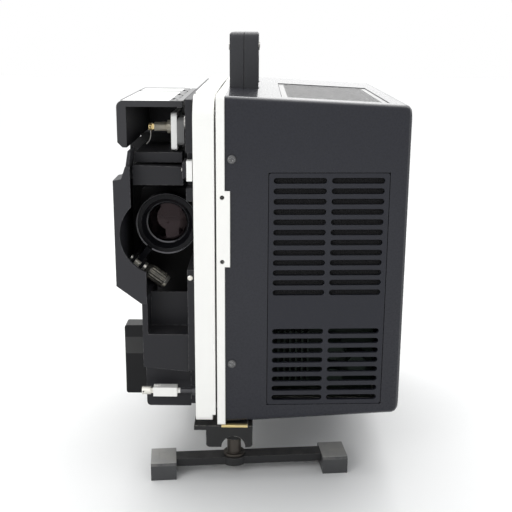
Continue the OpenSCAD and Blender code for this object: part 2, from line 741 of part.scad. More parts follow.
// Holder that the lens slides in: a dark wall across the film side, with the two lugs of the focus shaft
module lens_holder() {
  left = x_film - 25;
  wall_low = exit_top + 0.6;
  wall_high = hood_low - 0.8;
  wall_in = hood_low + 2.8;
  pocket = hood_left + hood_wall + clear;
  step = arm_plate_l - 2.3;
  color([0.1, 0.1, 0.11]) difference() {
    union() {
      plate_y(y_holder, y_holder + holder_len)
        polygon(rounded([left, z_lens - 26], [x_deck, z_lens + 26], [8, 0.5, 0.5, 4]));
      plate_y(bulk_y, bulk_y + bulk_t) polygon([[x_deck, wall_low], [sound_left - 2.5, wall_low], [sound_left - 2.5, sound_top + 3],
        [x_left + 1, z_lens - 39], [x_left + 1, wall_high], [pocket, wall_high], [pocket, wall_in], [step, wall_in],
        [step, wall_high - 4.5], [x_deck, wall_high - 4.5]]);
      on_rack() translate([22, y_holder - y_focus + 1, -rack_w / 2 - lug_gap - lug_t])
        cube([focus_r - 22 + 4, 10, rack_w + 2 * lug_gap + 2 * lug_t]);
      on_rack() for (t = [-rack_w / 2 - lug_gap - lug_t, rack_w / 2 + lug_gap]) translate([36, -5, t])
        cube([focus_r - 36 + 4, y_holder - y_focus + 7, lug_t]);
    }
    rod_y([x_film, z_lens], y_holder - 1, y_holder + holder_len + 1, barrel_r + run_fit);
    on_rack() translate([focus_r, 0, -20]) cylinder(r = shaft_focus_r + run_fit, h = 40);
  }
}

shaft_focus_r = 2;

// Lens tube with its front ring, grip ribs and the focus rack below it
module lens_barrel() {
  back = ring_len + barrel_len;
  lip = glass_r + 0.4;
  bore = rear_glass_r + 0.1;
  rack_x = focus_r - rack_pitch_r;
  pitch = PI * rack_m;
  color([0.06, 0.06, 0.06]) {
    turned_y([x_film, z_lens], y_lens) polygon([[lip, 7], [lip + 0.4, 5], [ring_r - 5, 0.8], [ring_r - 4.4, 0],
      [ring_r - 0.5, 0], [ring_r, 0.5], [ring_r, 4], [ring_r - 0.6, 4.4], [ring_r - 0.6, 5], [ring_r, 5.4],
      [ring_r, ring_len - 1], [ring_r - 1, ring_len], [barrel_r, ring_len], [barrel_r, back - 1], [barrel_r - 1, back],
      [bore - 1, back], [bore - 1, back - 3], [bore, back - 4], [bore, ring_len - 1], [lip - 2, 11.5], [lip, 11.5]]);
    on_rack() {
      translate([ring_r - 1.5, -rack_len / 2 - 2.5, -rack_w / 2])
        cube([rack_x - 1.3 * rack_m - ring_r + 1.5, rack_len, rack_w]);
      translate([0, 0, -rack_w / 2]) linear_extrude(rack_w)
        for (i = [-4 : 2]) translate([rack_x, (i + 0.5) * pitch])
          polygon([[-2 * rack_m, -1.12 * rack_m], [0.8 * rack_m, -0.34 * rack_m], [0.8 * rack_m, 0.34 * rack_m],
            [-2 * rack_m, 1.12 * rack_m]]);
    }
  }
}

module lens_glass() {
  back = ring_len + barrel_len;
  color([0.55, 0.3, 0.28, 0.5]) {
    turned_y([x_film, z_lens], y_lens) intersection() {
      translate([0, 7.2]) square([glass_r, 4]);
      translate([0, 67.4]) circle(r = 60);
    }
    rod_y([x_film, z_lens], y_lens + back - 8, y_lens + back - 4.2, rear_glass_r);
  }
}

// Focus shaft with its pinion in mesh with the rack; metal bands show at both ends of the knob
module focus_shaft() {
  pr = rack_pitch_r;
  color([0.75, 0.74, 0.7]) on_rack() translate([focus_r, 0, 0]) {
    translate([0, 0, -knob_start]) cylinder(r = shaft_focus_r, h = 2 * knob_start + knob_len + 3);
    translate([0, 0, -rack_w / 2]) linear_extrude(rack_w) {
      circle(r = pr - 1.25 * rack_m);
      for (i = [0 : pinion_teeth - 1]) rotate(180 + i * 360 / pinion_teeth)
        polygon([[pr - 2 * rack_m, -0.9 * rack_m], [pr, -0.58 * rack_m], [pr + 0.8 * rack_m, -0.28 * rack_m],
          [pr + 0.8 * rack_m, 0.28 * rack_m], [pr, 0.58 * rack_m], [pr - 2 * rack_m, 0.9 * rack_m]]);
    }
    translate([0, 0, -knob_start - 1.4]) cylinder(r = shaft_focus_r + 1, h = 1.4);
    translate([0, 0, knob_start + knob_len]) cylinder(r1 = knob_r, r2 = knob_r - 1, h = 3);
    translate([0, 0, knob_start]) cylinder(r = 4.4, h = 2.4);
  }
}

module focus_knob() {
  flutes = 16;
  color([0.05, 0.05, 0.05]) on_rack() translate([focus_r, 0, knob_start]) difference() {
    union() {
      translate([0, 0, 2.5]) cylinder(r1 = 4.6, r2 = knob_r, h = 4);
      translate([0, 0, 6.5]) cylinder(r = knob_r, h = knob_len - 6.5);
    }
    translate([0, 0, -1]) cylinder(r = shaft_focus_r + seat_fit, h = knob_len + 2);
    for (i = [0 : flutes - 1]) rotate(i * 360 / flutes) translate([knob_r + 0.5, 0, 7.5]) cylinder(r = 1, h = knob_len - 8.5);
  }
}

module framing_lever() {
  color([0.93, 0.92, 0.88]) difference() {
    union() {
      rod_x(lever_at, x_deck + 0.6, x_deck_r - 0.7, lever_r);
      box([x_deck + 0.6, lever_at[0] - lever_r, lever_at[1] - lever_r], [x_deck_r - 0.7, lever_at[0] - 3, lever_at[1] + lever_r]);
    }
    rod_x(lever_at, x_deck - 1, x_deck_r + 1, lever_pin_r + run_fit);
  }
}

gate_t = 4;
aperture = [10.3, 7.5];
claw_x = x_film + 7.4;

module gate_plate() {
  color([0.62, 0.62, 0.63]) difference() {
    box([x_film - 16, y_gate, z_lens - 40], [x_deck, y_gate + gate_t, z_lens + 35]);
    box([x_film - aperture[0] / 2, y_gate - 1, z_lens - aperture[1] / 2], [x_film + aperture[0] / 2, y_gate + 9, z_lens + aperture[1] / 2]);
    box([claw_x - 1.4, y_gate - 1, z_lens - 24], [claw_x + 1.4, y_gate + 9, z_lens - 8]);
    plate_x(x_film - film_w / 2 - 0.1, x_film + film_w / 2 + 0.1)
      polygon([[y_gate - 1, z_lens - 41], [y_gate + 0.4, z_lens - 41], [y_gate + 0.4, z_lens + 36], [y_gate - 1, z_lens + 36]]);
  }
}

// Sprung plate that holds the film flat, hung on two pins of the gate
module pressure_plate() {
  y0 = y_gate - 4.2;
  color([0.55, 0.55, 0.56]) difference() {
    union() {
      box([x_film - 12, y0, z_lens - 30], [x_film + 12, y_gate - 1.2, z_lens + 28]);
      for (z = [-26, 24]) rod_y([x_film - 11, z_lens + z], y0, y_gate, 1.2);
    }
    rod_y([x_film, z_lens], y0 - 1, y_gate + 1, 7);
  }
}

claw_travel = 3.8;

module pull_down_claw() {
  y0 = y_gate + gate_t + 0.4;
  color([0.7, 0.7, 0.72]) difference() {
    union() {
      box([x_film - 12, y0, z_lens - 24], [x_deck - 0.6, y0 + 2.6, z_lens + 16]);
      for (z = [-18.6, -13.4]) box([claw_x - 0.6, y_gate + 0.8, z_lens + z - 0.8], [claw_x + 0.6, y0 + eps, z_lens + z + 0.8]);
    }
    rod_y([x_film, z_lens], y0 - 1, y0 + 4, 10);
  }
}

// Toothed film sprocket with its shaft; the inner end carries the worm wheel
module sprocket(at) {
  half = film_w / 2;
  tooth_x = x_film + half - 1.6;
  wheel_t = 5;
  color([0.7, 0.7, 0.71]) {
    turned_x(at, x_film + half) polygon([[0, 0], [sprocket_r, 0], [sprocket_r, 3], [sprocket_r - 1.2, 3.6],
      [sprocket_r - 1.2, film_w - 3.6], [sprocket_r, film_w - 3], [sprocket_r, film_w], [sprocket_r - 3, film_w + 1], [0, film_w + 1]]);
    for (i = [0 : sprocket_teeth - 1]) translate([tooth_x, at[0], at[1]]) rotate([i * 360 / sprocket_teeth, 0, 0])
      translate([-0.6, -0.8, sprocket_r - 1]) cube([1.2, 1.6, 2]);
    rod_x(at, x_film + half - eps, x_cover + 8, drive_r);
    rod_x(at, x_cover + 2, x_cover + 2 + wheel_t, 11);
  }
}

module feed_sprocket() { sprocket(feed_at); }
module hold_back_sprocket() { sprocket(hold_back_at); }

module sound_drum() {
  half = film_w / 2;
  color([0.72, 0.72, 0.73]) {
    turned_x(drum_at, x_film + half) polygon([[0, 0], [drum_r, 0], [drum_r, 2], [drum_r - 0.6, 2.6], [drum_r - 0.6, film_w - 2],
      [drum_r, film_w - 1.4], [drum_r - 1, film_w], [0, film_w]]);
    rod_x(drum_at, x_film + half - eps, x_deck_r - 0.4, control_shaft_r);
  }
}

// Lamp house: box on the deck, open on the outer side where the door closes it
module lamp_house() {
  y0 = y_lamp;
  y1 = y_lamp + lamp_len;
  color([0.12, 0.12, 0.13]) difference() {
    union() {
      plate_y(y0, y1) polygon(rounded([lamp_left, lamp_low], [x_deck, lamp_high], [1, 0.5, 0.5, 1]));
      for (z = [lamp_low + 6, lamp_high - 18])
        box([door_at[0], y1 - 0.2, z], [lamp_left + 6, door_at[1] + 3, z + 12]);
      for (z = [lamp_low + 6, lamp_high - 18]) rod_z(door_at, z, z + 12, 3);
    }
    box([lamp_left - 1, y0 + wall, lamp_low + wall], [x_deck - wall, y1 - wall, lamp_high - wall]);
    rod_y([x_film, z_lens], y0 - 1, y0 + wall + 1, condenser_r - 1);
    for (i = [0 : 8]) box([lamp_left + 8, y0 + 24 + i * 9, lamp_high - wall - 1], [x_deck - 8, y0 + 28 + i * 9, lamp_high + 1]);
    for (i = [0 : 8]) box([lamp_left + 8, y0 + 24 + i * 9, lamp_low - 1], [x_deck - 8, y0 + 28 + i * 9, lamp_low + wall + 1]);
    for (z = [lamp_low + 6, lamp_high - 18])
      rod_z(door_at, z - 1, z + 13, door_pin_r + seat_fit);
    for (z = [lamp_low + 18, lamp_high - 30])
      box([door_at[0] - 5, y1 + 0.2, z], [lamp_left + 7, door_at[1] + 5, z + 12 + knuckle_gap]);
  }
}

// Door of the lamp house with its hinge pin and vent slots
module lamp_door() {
  y0 = y_lamp + 3;
  y1 = y_lamp + lamp_len - 1;
  z0 = lamp_low + 1;
  z1 = lamp_high - 1;
  x1 = lamp_left - 0.4;
  lug_z = [lamp_low + 18 + knuckle_gap, lamp_high - 30 + knuckle_gap];
  color([0.14, 0.14, 0.15]) difference() {
    union() {
      plate_x(x1 - door_t, x1) polygon(rounded([y0, z0], [y1, z1], [5, 1, 1, 5]));
      for (z = lug_z) {
        rod_z(door_at, z, z + 12 - knuckle_gap, 3);
        box([x1 - door_t, y1 - 1, z], [x1, door_at[1], z + 12 - knuckle_gap]);
      }
      rod_z(door_at, lamp_low + 6, lamp_high - 6, door_pin_r);
      rod_x([y0 + 10, z_lens], x1 - door_t - 3.4, x1 - door_t + 1, 6);
    }
    for (i = [0 : 6]) plate_x(x1 - door_t - 1, x1 + 1) polygon(slot([y0 + 30, z0 + 12 + i * 10], 70, 4));
  }
}

condenser_r = 15;

module condenser_lens() {
  color([0.8, 0.85, 0.9, 0.4]) turned_y([x_film, z_lens], y_lamp + wall + 0.05) intersection() {
    square([condenser_r + 2, 8]);
    translate([0, -26]) circle(r = 34);
  }
}

// Halogen lamp with its reflector bowl, base and socket, standing on the house's floor
module lamp() {
  y0 = y_lamp + 40;
  bowl_r = film_out - wall - 1.5;
  color([0.85, 0.85, 0.8]) {
    turned_y([x_film, z_lens], y0) polygon(concat([[bowl_r - 1, 0], [bowl_r, 0]],
      [for (i = [0 : 6]) [bowl_r - i * 1.3, i * i * 0.6 + 2]], [[8, 40], [0, 40], [0, 27], [7, 25]],
      [for (i = [6 : -1 : 0]) [bowl_r - 1.6 - i * 1.1, i * i * 0.6 + 1]]));
    rod_y([x_film, z_lens], y0 + 12, y0 + 28, 4);
    box([x_film - 12, y0 + 40 - eps, lamp_low + wall], [x_film + 12, y0 + 52, z_lens + 10]);
  }
}

// Mains inlet in the rear wall
inlet_w = 28;
inlet_h = 20;
inlet_x = 100;
inlet_z = z_bottom + 34;

module power_inlet() {
  g = 0.3;
  lo = [inlet_x - inlet_w / 2, inlet_z - inlet_h / 2];
  hi = [inlet_x + inlet_w / 2, inlet_z + inlet_h / 2];
  color([0.04, 0.04, 0.04]) on_rear() {
    difference() {
      union() {
        plate_y(-20, 0.5) polygon(rounded(lo + [g, g], hi - [g, g], [3, 3, 3, 3]));
        plate_y(0.04, 2) polygon(rounded(lo - [4, 3], hi + [4, 3], [4, 4, 4, 4]));
      }
      plate_y(-15, 3) polygon(rounded(lo + [3, 3], hi - [3, 3], [1, 1, 4, 4]));
    }
    for (p = [[-7, -1.5], [7, -1.5], [0, 3]])
      box([inlet_x + p[0] - 1, -16, inlet_z + p[1] - 2], [inlet_x + p[0] + 1, -3, inlet_z + p[1] + 2]);
  }
}

// Steel tray inside the cover; saddles carry the motor
module base_plate() {
  z1 = plate_z + plate_t;
  reach = x_right - wall - 13;
  y0 = post_at[1] + post_r + 2;
  color([0.66, 0.66, 0.62]) difference() {
    union() {
      box([x_cover, y0, plate_z], [reach, y_rear - 20, z1]);
      box([x_cover, y0, plate_z], [x_cover + 2, y_rear - 20, z1 + 14]);
      for (y = [y_motor + 10, y_motor + motor_len - 20])
        box([motor_at[0] - 22, y, z1 - eps], [motor_at[0] + 22, y + 10, motor_at[1] - motor_r * 0.6]);
    }
    rod_y(motor_at, y_motor - 1, y_motor + motor_len + 1, motor_r + seat_fit);
  }
}

module motor() {
  color([0.5, 0.5, 0.5]) difference() {
    turned_y(motor_at, y_motor) polygon([[0, 0], [motor_r - 8, 0], [motor_r - 8, 4], [motor_r - 1, 5], [motor_r, 6],
      [motor_r, motor_len - 6], [motor_r - 1, motor_len - 5], [motor_r - 9, motor_len - 4], [motor_r - 9, motor_len], [0, motor_len]]);
    rod_y(motor_at, y_motor - 1, y_motor + motor_len + 1, drive_r + run_fit);
    for (a = [0 : 30 : 330]) translate([motor_at[0], 0, motor_at[1]]) rotate([0, a, 0])
      translate([motor_r - 6, y_motor - 1, -2]) cube([3, 12, 4]);
  }
}

y_blower = y_motor + motor_len + 3;
blower_r = 38;
blower_len = 18;

// Motor shaft with its belt pulley
module motor_rotor() {
  r = motor_pulley_r;
  color([0.74, 0.74, 0.75]) {
    rod_y(motor_at, y_belt - 4, y_blower + blower_len + 2, drive_r);
    turned_y(motor_at, y_belt - 2) polygon([[0, 0], [r + 3, 0], [r + 3, 1.4], [r, 1.7], [r, belt_w + 2.3],
      [r + 3, belt_w + 2.6], [r + 3, belt_w + 4], [0, belt_w + 4]]);
  }
}

module blower_wheel() {
  blades = 18;
  color([0.3, 0.3, 0.31]) {
    turned_y(motor_at, y_blower) polygon([[drive_r + seat_fit, 0], [blower_r, 0], [blower_r, 1.6], [11, 1.6], [9, 10], [drive_r + seat_fit, 10]]);
    for (i = [0 : blades - 1]) translate([motor_at[0], y_blower + 1, motor_at[1]]) rotate([0, i * 360 / blades, 0])
      translate([blower_r - 11, 0, 0]) rotate([0, 25, 0]) cube([10, blower_len - 1.6, 1]);
    turned_y(motor_at, y_blower + blower_len - 1.4)
      polygon([[blower_r - 8, 0], [blower_r, 0], [blower_r, 1.4], [blower_r - 8, 1.4]]);
  }
}

// Shutter shaft with its bladed disc and pulley
module shutter() {
  r = shutter_pulley_r;
  color([0.3, 0.3, 0.32]) {
    rod_y(shutter_at, y_shutter - 4, y_belt + 56, drive_r);
    difference() {
      rod_y(shutter_at, y_shutter, y_shutter + 1.6, shutter_r);
      for (a = [0, 120, 240]) translate([shutter_at[0], y_shutter - 1, shutter_at[1]]) rotate([0, a + 150, 0])
        rotate([-90, 0, 0]) linear_extrude(4) polygon(concat(arc([0, 0], 48, -28, 28, 10), arc([0, 0], shutter_r + 2, 28, -28, 10)));
    }
    turned_y(shutter_at, y_belt - 2) polygon([[0, 0], [r - 1, 0], [r - 1, 1.4], [r - 3, 1.7], [r - 3, belt_w + 2.3],
      [r - 1, belt_w + 2.6], [r - 1, belt_w + 4], [0, belt_w + 4]]);
  }
}

// Drive belt round both pulleys, 0.3 mm clear of their grooves
belt_gap = 0.3;

function belt_outline(grow) =
  let (r1 = motor_pulley_r + belt_gap + grow, r2 = shutter_pulley_r - 3 + belt_gap + grow,
    d = shutter_at - motor_at, len = norm(d), lie = atan2(d[1], d[0]), lean = acos((r1 - r2) / len))
  concat(arc(motor_at, r1, lie + lean, lie + 360 - lean, 24), arc(shutter_at, r2, lie - lean, lie + lean, 24));

module drive_belt() {
  color([0.05, 0.05, 0.05]) plate_y(y_belt + 1, y_belt + 1 + belt_w - 1.5) difference() {
    polygon(belt_outline(belt_t));
    polygon(belt_outline(0));
  }
}

module transformer() {
  lo = [x_cover + 6, 70, plate_z + plate_t];
  core = [40, 56, 50];
  color([0.42, 0.4, 0.38]) {
    difference() {
      box(lo, lo + core);
      box(lo + [-1, 10, 8], lo + [core[0] + 1, 22, core[2] - 8]);
      box(lo + [-1, core[1] - 22, 8], lo + [core[0] + 1, core[1] - 10, core[2] - 8]);
    }
    box(lo + [-4, 11, 9], lo + [1, core[1] - 11, core[2] - 9]);
    box(lo + [core[0] - 1, 11, 9], lo + [core[0] + 4, core[1] - 11, core[2] - 9]);
  }
}

// Upright circuit board with capacitors and a finned heat sink behind the lower slots
module amplifier_board() {
  x0 = x_cover + 12;
  x1 = x_right - 18;
  z0 = plate_z + plate_t;
  fins = 9;
  color([0.2, 0.34, 0.22]) {
    box([x0, y_board, z0], [x1, y_board + 1.6, z0 + 74]);
    for (i = [0 : fins - 1]) box([x0 + 16 + i * 5, y_board - 22, z0 + 10], [x0 + 17.6 + i * 5, y_board - 3 + eps, z0 + 60]);
    box([x0 + 16, y_board - 3, z0 + 10], [x0 + 16 + fins * 5, y_board + eps, z0 + 60]);
    for (p = [[78, 20], [78, 44], [98, 32]]) rod_y([x0 + p[0], z0 + p[1]], y_board - 26, y_board + eps, 8);
    for (i = [0 : 3]) box([x0 + 70 + i * 10, y_board - 5, z0 + 60], [x0 + 76 + i * 10, y_board + eps, z0 + 70]);
  }
}

// Pins that carry the arms and the framing lever
module pivot_pins() {
  head = 2.4;
  color([0.78, 0.78, 0.78]) {
    rod_x(arm_pivot, x_deck - 1.5, x_cover, arm_pin_r);
    rod_x(take_up_pivot, arm_plate_l - 1, x_deck_r, take_up_pin_r);
    rod_x(take_up_pivot, arm_plate_l - 0.5 - head, arm_plate_l - 0.5, take_up_pin_r + 2);
    rod_x(lever_at, x_deck - 3.9, x_deck_r - 0.6, lever_pin_r);
  }
}

// Ivory supply arm, hollow towards the frame, with bosses at its pivot and spindle
module supply_arm() {
  rim = 4;
  y1 = y_arm_rear;
  color([0.9, 0.89, 0.82]) difference() {
    union() {
      difference() {
        plate_x(x_arm, x_arm_r) polygon(rounded([y_front, z_bottom], [y1, z_top], [6, 10, arm_w / 2, arm_w / 2]));
        plate_x(x_arm + 3, x_arm_r + 1)
          polygon(rounded([y_front + rim, z_bottom + rim + 3], [y1 - rim, z_top - rim], [4, 6, arm_w / 2 - rim, arm_w / 2 - rim]));
      }
      rod_x(arm_pivot, x_arm + 2, x_arm_r, arm_pin_r + 5);
      rod_x(supply_at, x_arm + 2, x_arm + 5, shaft_r + 4);
    }
    rod_x(arm_pivot, x_arm - 1, x_arm_r + 1, arm_pin_r + run_fit);
    rod_x(supply_at, x_arm - 1, x_arm_r + 1, shaft_r + run_fit);
    box([x_arm_r - 2.7, y_front - 1, z_bottom - 1], [x_arm_r + 1, y1 + 1, z_bottom + 6.5]);
  }
}

// Flip lock sizes shared by both spindles
tongue_t = 2.6;
tongue_r = 2.2;
lock_pin_r = 0.7;
lock_gap = 0.35;

// Slot and cross pin at the outer end of a spindle whose end is at x
module lock_slot(at, x, depth) {
  box([x - 1, at[0] - tongue_t / 2 - lock_gap, at[1] - 9], [x + depth + tongue_r + lock_gap, at[0] + tongue_t / 2 + lock_gap, at[1] + 9]);
}

module lock_tip(at, x, depth, start, end, r) {
  difference() {
    union() {
      rod_x(at, x - end, x - start, r);
      translate([0, at[0] - tongue_t / 2, 0]) {
        translate([x + depth, 0, at[1]]) rotate([-90, 0, 0]) cylinder(r = tongue_r, h = tongue_t);
        translate([x - start - eps, 0, at[1] - tongue_r]) cube([start + depth + eps, tongue_t, 2 * tongue_r]);
      }
    }
    rod_y([x + depth, at[1]], at[0] - 9, at[0] + 9, lock_pin_r + run_fit);
    rod_y([x - end + 1.4, at[1]], at[0] - 9, at[0] + 9, 0.8);
  }
}

supply_end = x_film - square_len / 2 - 0.2;
supply_depth = 3.2;
supply_start = norm([supply_depth, square_w / 2]) - supply_depth + lock_gap;
supply_tip = 9.6;

module supply_spindle() {
  seat = supply_end + square_len;
  color([0.88, 0.88, 0.85]) {
    difference() {
      union() {
        box([supply_end, supply_at[0] - square_w / 2, supply_at[1] - square_w / 2],
          [seat, supply_at[0] + square_w / 2, supply_at[1] + square_w / 2]);
        rod_x(supply_at, seat - eps, x_arm + 12, shaft_r);
        rod_x(supply_at, x_arm + 5.5, x_arm + 11, 10);
        rod_x(supply_at, x_arm - 4, x_arm - 0.4, shaft_r + 1.6);
      }
      lock_slot(supply_at, supply_end, supply_depth);
    }
    rod_y([supply_end + supply_depth, supply_at[1]], supply_at[0] - square_w / 2, supply_at[0] + square_w / 2, lock_pin_r);
  }
}

module supply_lock() {
  color([0.74, 0.72, 0.66]) lock_tip(supply_at, supply_end, supply_depth, supply_start, supply_tip, 3.5);
}

take_up_end = x_film - 7.3;
take_up_depth = 3.4;
take_up_start = norm([take_up_depth, take_up_r]) - take_up_depth + lock_gap;
take_up_tip = 4.6;
take_up_pulley_r = 8;

// White plate of the take-up arm
module take_up_arm() {
  color([0.93, 0.92, 0.9]) difference() {
    plate_x(arm_plate_l, arm_plate_r)
      polygon(concat(arc([take_up_at[0] - 10, arm_plate_low + 3], 3, 180, 270), arc([take_up_pivot[0], take_up_pivot[1]], 12, -90, 90, 16),
        arc([take_up_at[0] - 9, arm_plate_high - 4], 4, 90, 180)));
    rod_x(take_up_at, arm_plate_l - 1, arm_plate_r + 1, take_up_r + run_fit);
    rod_x(take_up_pivot, arm_plate_l - 1, arm_plate_r + 1, take_up_pin_r + run_fit);
  }
}

// Grey casing of the arm's belt; its top strip carries the hood's hinge
module take_up_belt_cover() {
  front = take_up_at[0] - 13;
  rear = take_up_pivot[0] + 12;
  low = take_up_at[1] - 13.9;
  high = take_up_at[1] + 8.4;
  strip = hinge_x + hinge_r + knuckle_gap;
  color([0.45, 0.45, 0.46]) {
    difference() {
      union() {
        plate_x(arm_plate_r, belt_cover_r) polygon(rounded([front, low], [rear, high], [4, 8, 4, 4]));
        box([strip + 0.4, take_up_at[0] + 16, high - eps], [belt_cover_r, rear, hood_top - hood_t + eps]);
        box([strip, hood_front + lip_t + knuckle_gap, hood_top - hood_t], [belt_cover_r, hood_rear - 1, hood_top]);
        hinge_knuckles(0, strip);
      }
      rod_x(take_up_at, arm_plate_r - 1, belt_cover_r - 1.2, take_up_pulley_r + clear);
      rod_x(take_up_pivot, arm_plate_r - 1, belt_cover_r + 1, take_up_pin_r + run_fit);
    }
    rod_y([hinge_x, hinge_z], knuckle_y[0], knuckle_y[len(knuckle_y) - 1] + 2 * knuckle_len, hinge_pin_r);
  }
}

// Hinge along the hood's edge: each pair has one knuckle on the arm and one on the hood
knuckle_y = [for (i = [0 : 2]) hood_front + 14 + i * (hood_len - 28 - 2 * knuckle_len) / 2];

module hinge_knuckles(which, edge) {
  for (y = knuckle_y) {
    y0 = y + which * (knuckle_len + knuckle_gap);
    rod_y([hinge_x, hinge_z], y0, y0 + knuckle_len - knuckle_gap, hinge_r);
    box([min(hinge_x, edge), y0, hinge_z - hinge_r], [max(hinge_x, edge) + (which == 0 ? eps : 0), y0 + knuckle_len - knuckle_gap, hinge_z + hinge_r]);
  }
}

module hood_shell() {
  roof_edge = hinge_x - hinge_r - knuckle_gap;
  rear_t = 3;
  rear_drop = 10.5;
  inner = hood_left + hood_wall;
  color([0.06, 0.06, 0.06]) difference() {
    union() {
      plate_y(hood_front, hood_rear) polygon(concat(
        [[hood_left, hood_low + 4], [hood_left + 4, hood_low], [inner, hood_low], [inner, hood_top - hood_t],
          [roof_edge, hood_top - hood_t], [roof_edge, hood_top]],
        arc([hood_left + 5, hood_top - 5], 5, 90, 180)));
      box([hood_left + 1, hood_rear - rear_t, hood_low - rear_drop], [arm_plate_l - 5, hood_rear, hood_top - hood_t + eps]);
      box([roof_edge - eps, hood_front, hood_top - hood_t], [belt_cover_r, hood_front + lip_t, hood_top]);
      hinge_knuckles(1, roof_edge - eps);
    }
    rod_y([hinge_x, hinge_z], hood_front + lip_t + 1, hood_rear + 1, hinge_pin_r + run_fit);
    box(hood_panel_lo, hood_panel_hi + [0, 0, 1]);
  }
}

hood_panel_lo = [hood_left + 3.4, hood_front + 3, hood_top - panel_t];
hood_panel_hi = [hinge_x - hinge_r - knuckle_gap - 0.8, hood_rear - 3, hood_top];

// White panel let into the hood's roof, with a groove across it
module hood_panel() {
  groove_y = hood_front + 0.72 * hood_len;
  color([0.93, 0.93, 0.9]) difference() {
    box(hood_panel_lo, hood_panel_hi);
    box([hood_panel_lo[0] - 1, groove_y, hood_top - 0.4], [hood_panel_hi[0] + 1, groove_y + 1.2, hood_top + 1]);
  }
}

module take_up_spindle() {
  r = take_up_r;
  color([0.82, 0.8, 0.74]) {
    difference() {
      union() {
        rod_x(take_up_at, take_up_end, belt_cover_r - 2, r);
        rod_x(take_up_at, arm_plate_r + 0.5, belt_cover_r - 2, take_up_pulley_r);
        rod_x(take_up_at, arm_plate_l - 4, arm_plate_l - 0.4, r + 1.6);
      }
      lock_slot(take_up_at, take_up_end, take_up_depth);
    }
    rod_y([take_up_end + take_up_depth, take_up_at[1]], take_up_at[0] - r + 0.1, take_up_at[0] + r - 0.1, lock_pin_r);
  }
}

module take_up_lock() {
  color([0.72, 0.58, 0.3]) lock_tip(take_up_at, take_up_end, take_up_depth, take_up_start, take_up_tip, 3.2);
}

// Bracket under the body's front edge; the zinc strip on top meets the frame
module foot_bracket() {
  left = x_cover - 26.4;
  right = x_cover + 22.6;
  y0 = y_front + 4;
  y1 = y_front + 40;
  top = z_frame - strip_h;
  arch = 10;
  lug = 8;
  color([0.2, 0.2, 0.21]) difference() {
    union() {
      box([left, y0, top - 4], [right, y1, top]);
      plate_y(y0, y0 + 3) difference() {
        polygon(rounded([left + 10, bracket_low], [right, top - 1], [3, 3, 1, 1]));
        translate([post_at[0], bracket_low]) circle(r = arch);
      }
      rod_z(post_at, bracket_low + 2, top - 1, post_r + 4);
      box([x_frame + 3.2, y_front + 1, top - eps], [x_cover + 18.6, y1, z_frame]);
      box([x_cover, y_front + 8, z_frame - eps], [x_cover + 2.5, y1 - 4, z_frame + 0.6]);
    }
    rod_z(post_at, bracket_low - 1, z_frame + 5, post_r + run_fit);
    for (x = [left + 10 + lug, right - lug]) rod_z([x, y1 - 9], top - 9, z_frame + 4, 1.6);
  }
}

module elevator_post() {
  color([0.6, 0.6, 0.6]) {
    rod_z(post_at, pad_h + 0.3 + flange_t - eps, z_bottom + 26, post_r);
    rod_z(post_at, pad_h + 0.3, pad_h + 0.3 + flange_t, post_r + 3);
    rod_z(post_at, bar_low - 0.4, pad_h + 0.3 + eps, swivel_r);
    rod_z(post_at, bar_low - 2.4, bar_low - 0.4, swivel_r + 2.4);
  }
}

module foot_bar() {
  color([0.17, 0.17, 0.18]) translate([post_at[0], post_at[1], 0]) rotate([0, 0, bar_turn]) difference() {
    union() {
      translate([-bar_left - 4, -bar_w / 2, bar_low]) cube([bar_left + bar_right + 8, bar_w, bar_t - 0.2]);
      translate([0, 0, bar_low]) cylinder(r = 11, h = bar_t - 0.2);
    }
    translate([0, 0, bar_low - 1]) cylinder(r = swivel_r + run_fit, h = bar_t + 2);
  }
}

// Rubber pad with its bevelled top and a pocket for the bar
module foot_pad() {
  bevel = 2;
  difference() {
    intersection() {
      translate([-pad_w / 2, -pad_d / 2, 0]) cube([pad_w, pad_d, pad_h + 4]);
      plate_x(-pad_w, pad_w) polygon([[-pad_d / 2, 0], [pad_d / 2, 0], [pad_d / 2, pad_h - bevel], [pad_d / 2 - bevel, pad_h],
        [-pad_d / 2 + bevel, pad_h], [-pad_d / 2, pad_h - bevel]]);
    }
    translate([-4 - seat_fit, -bar_w / 2 - seat_fit, bar_low - seat_fit])
      cube([pad_w + 4 + seat_fit, bar_w + 2 * seat_fit, bar_t - 0.2 + 2 * seat_fit]);
  }
}

module front_foot_pads() {
  color([0.42, 0.43, 0.44]) translate([post_at[0], post_at[1], 0]) rotate([0, 0, bar_turn]) {
    translate([-bar_left, 0, 0]) foot_pad();
    translate([bar_right, 0, 0]) mirror([1, 0, 0]) foot_pad();
  }
}

module rear_foot_bar() {
  color([0.17, 0.17, 0.18]) {
    box([-rear_reach - 4, rear_bar_y - bar_w / 2, bar_low], [rear_reach + 4, rear_bar_y + bar_w / 2, pad_h - 0.2]);
    box([x_frame - 6, rear_bar_y - 12, pad_h - 0.2 - eps], [x_cover + 20, rear_bar_y + 12, pad_h + 4]);
    box([x_frame - 2, rear_bar_y - 10, pad_h + 4 - eps], [x_cover + 14, rear_bar_y + 10, z_frame]);
  }
}

module rear_feet() {
  color([0.42, 0.43, 0.44]) {
    translate([-rear_reach, rear_bar_y, 0]) foot_pad();
    translate([rear_reach, rear_bar_y, 0]) mirror([1, 0, 0]) foot_pad();
  }
}

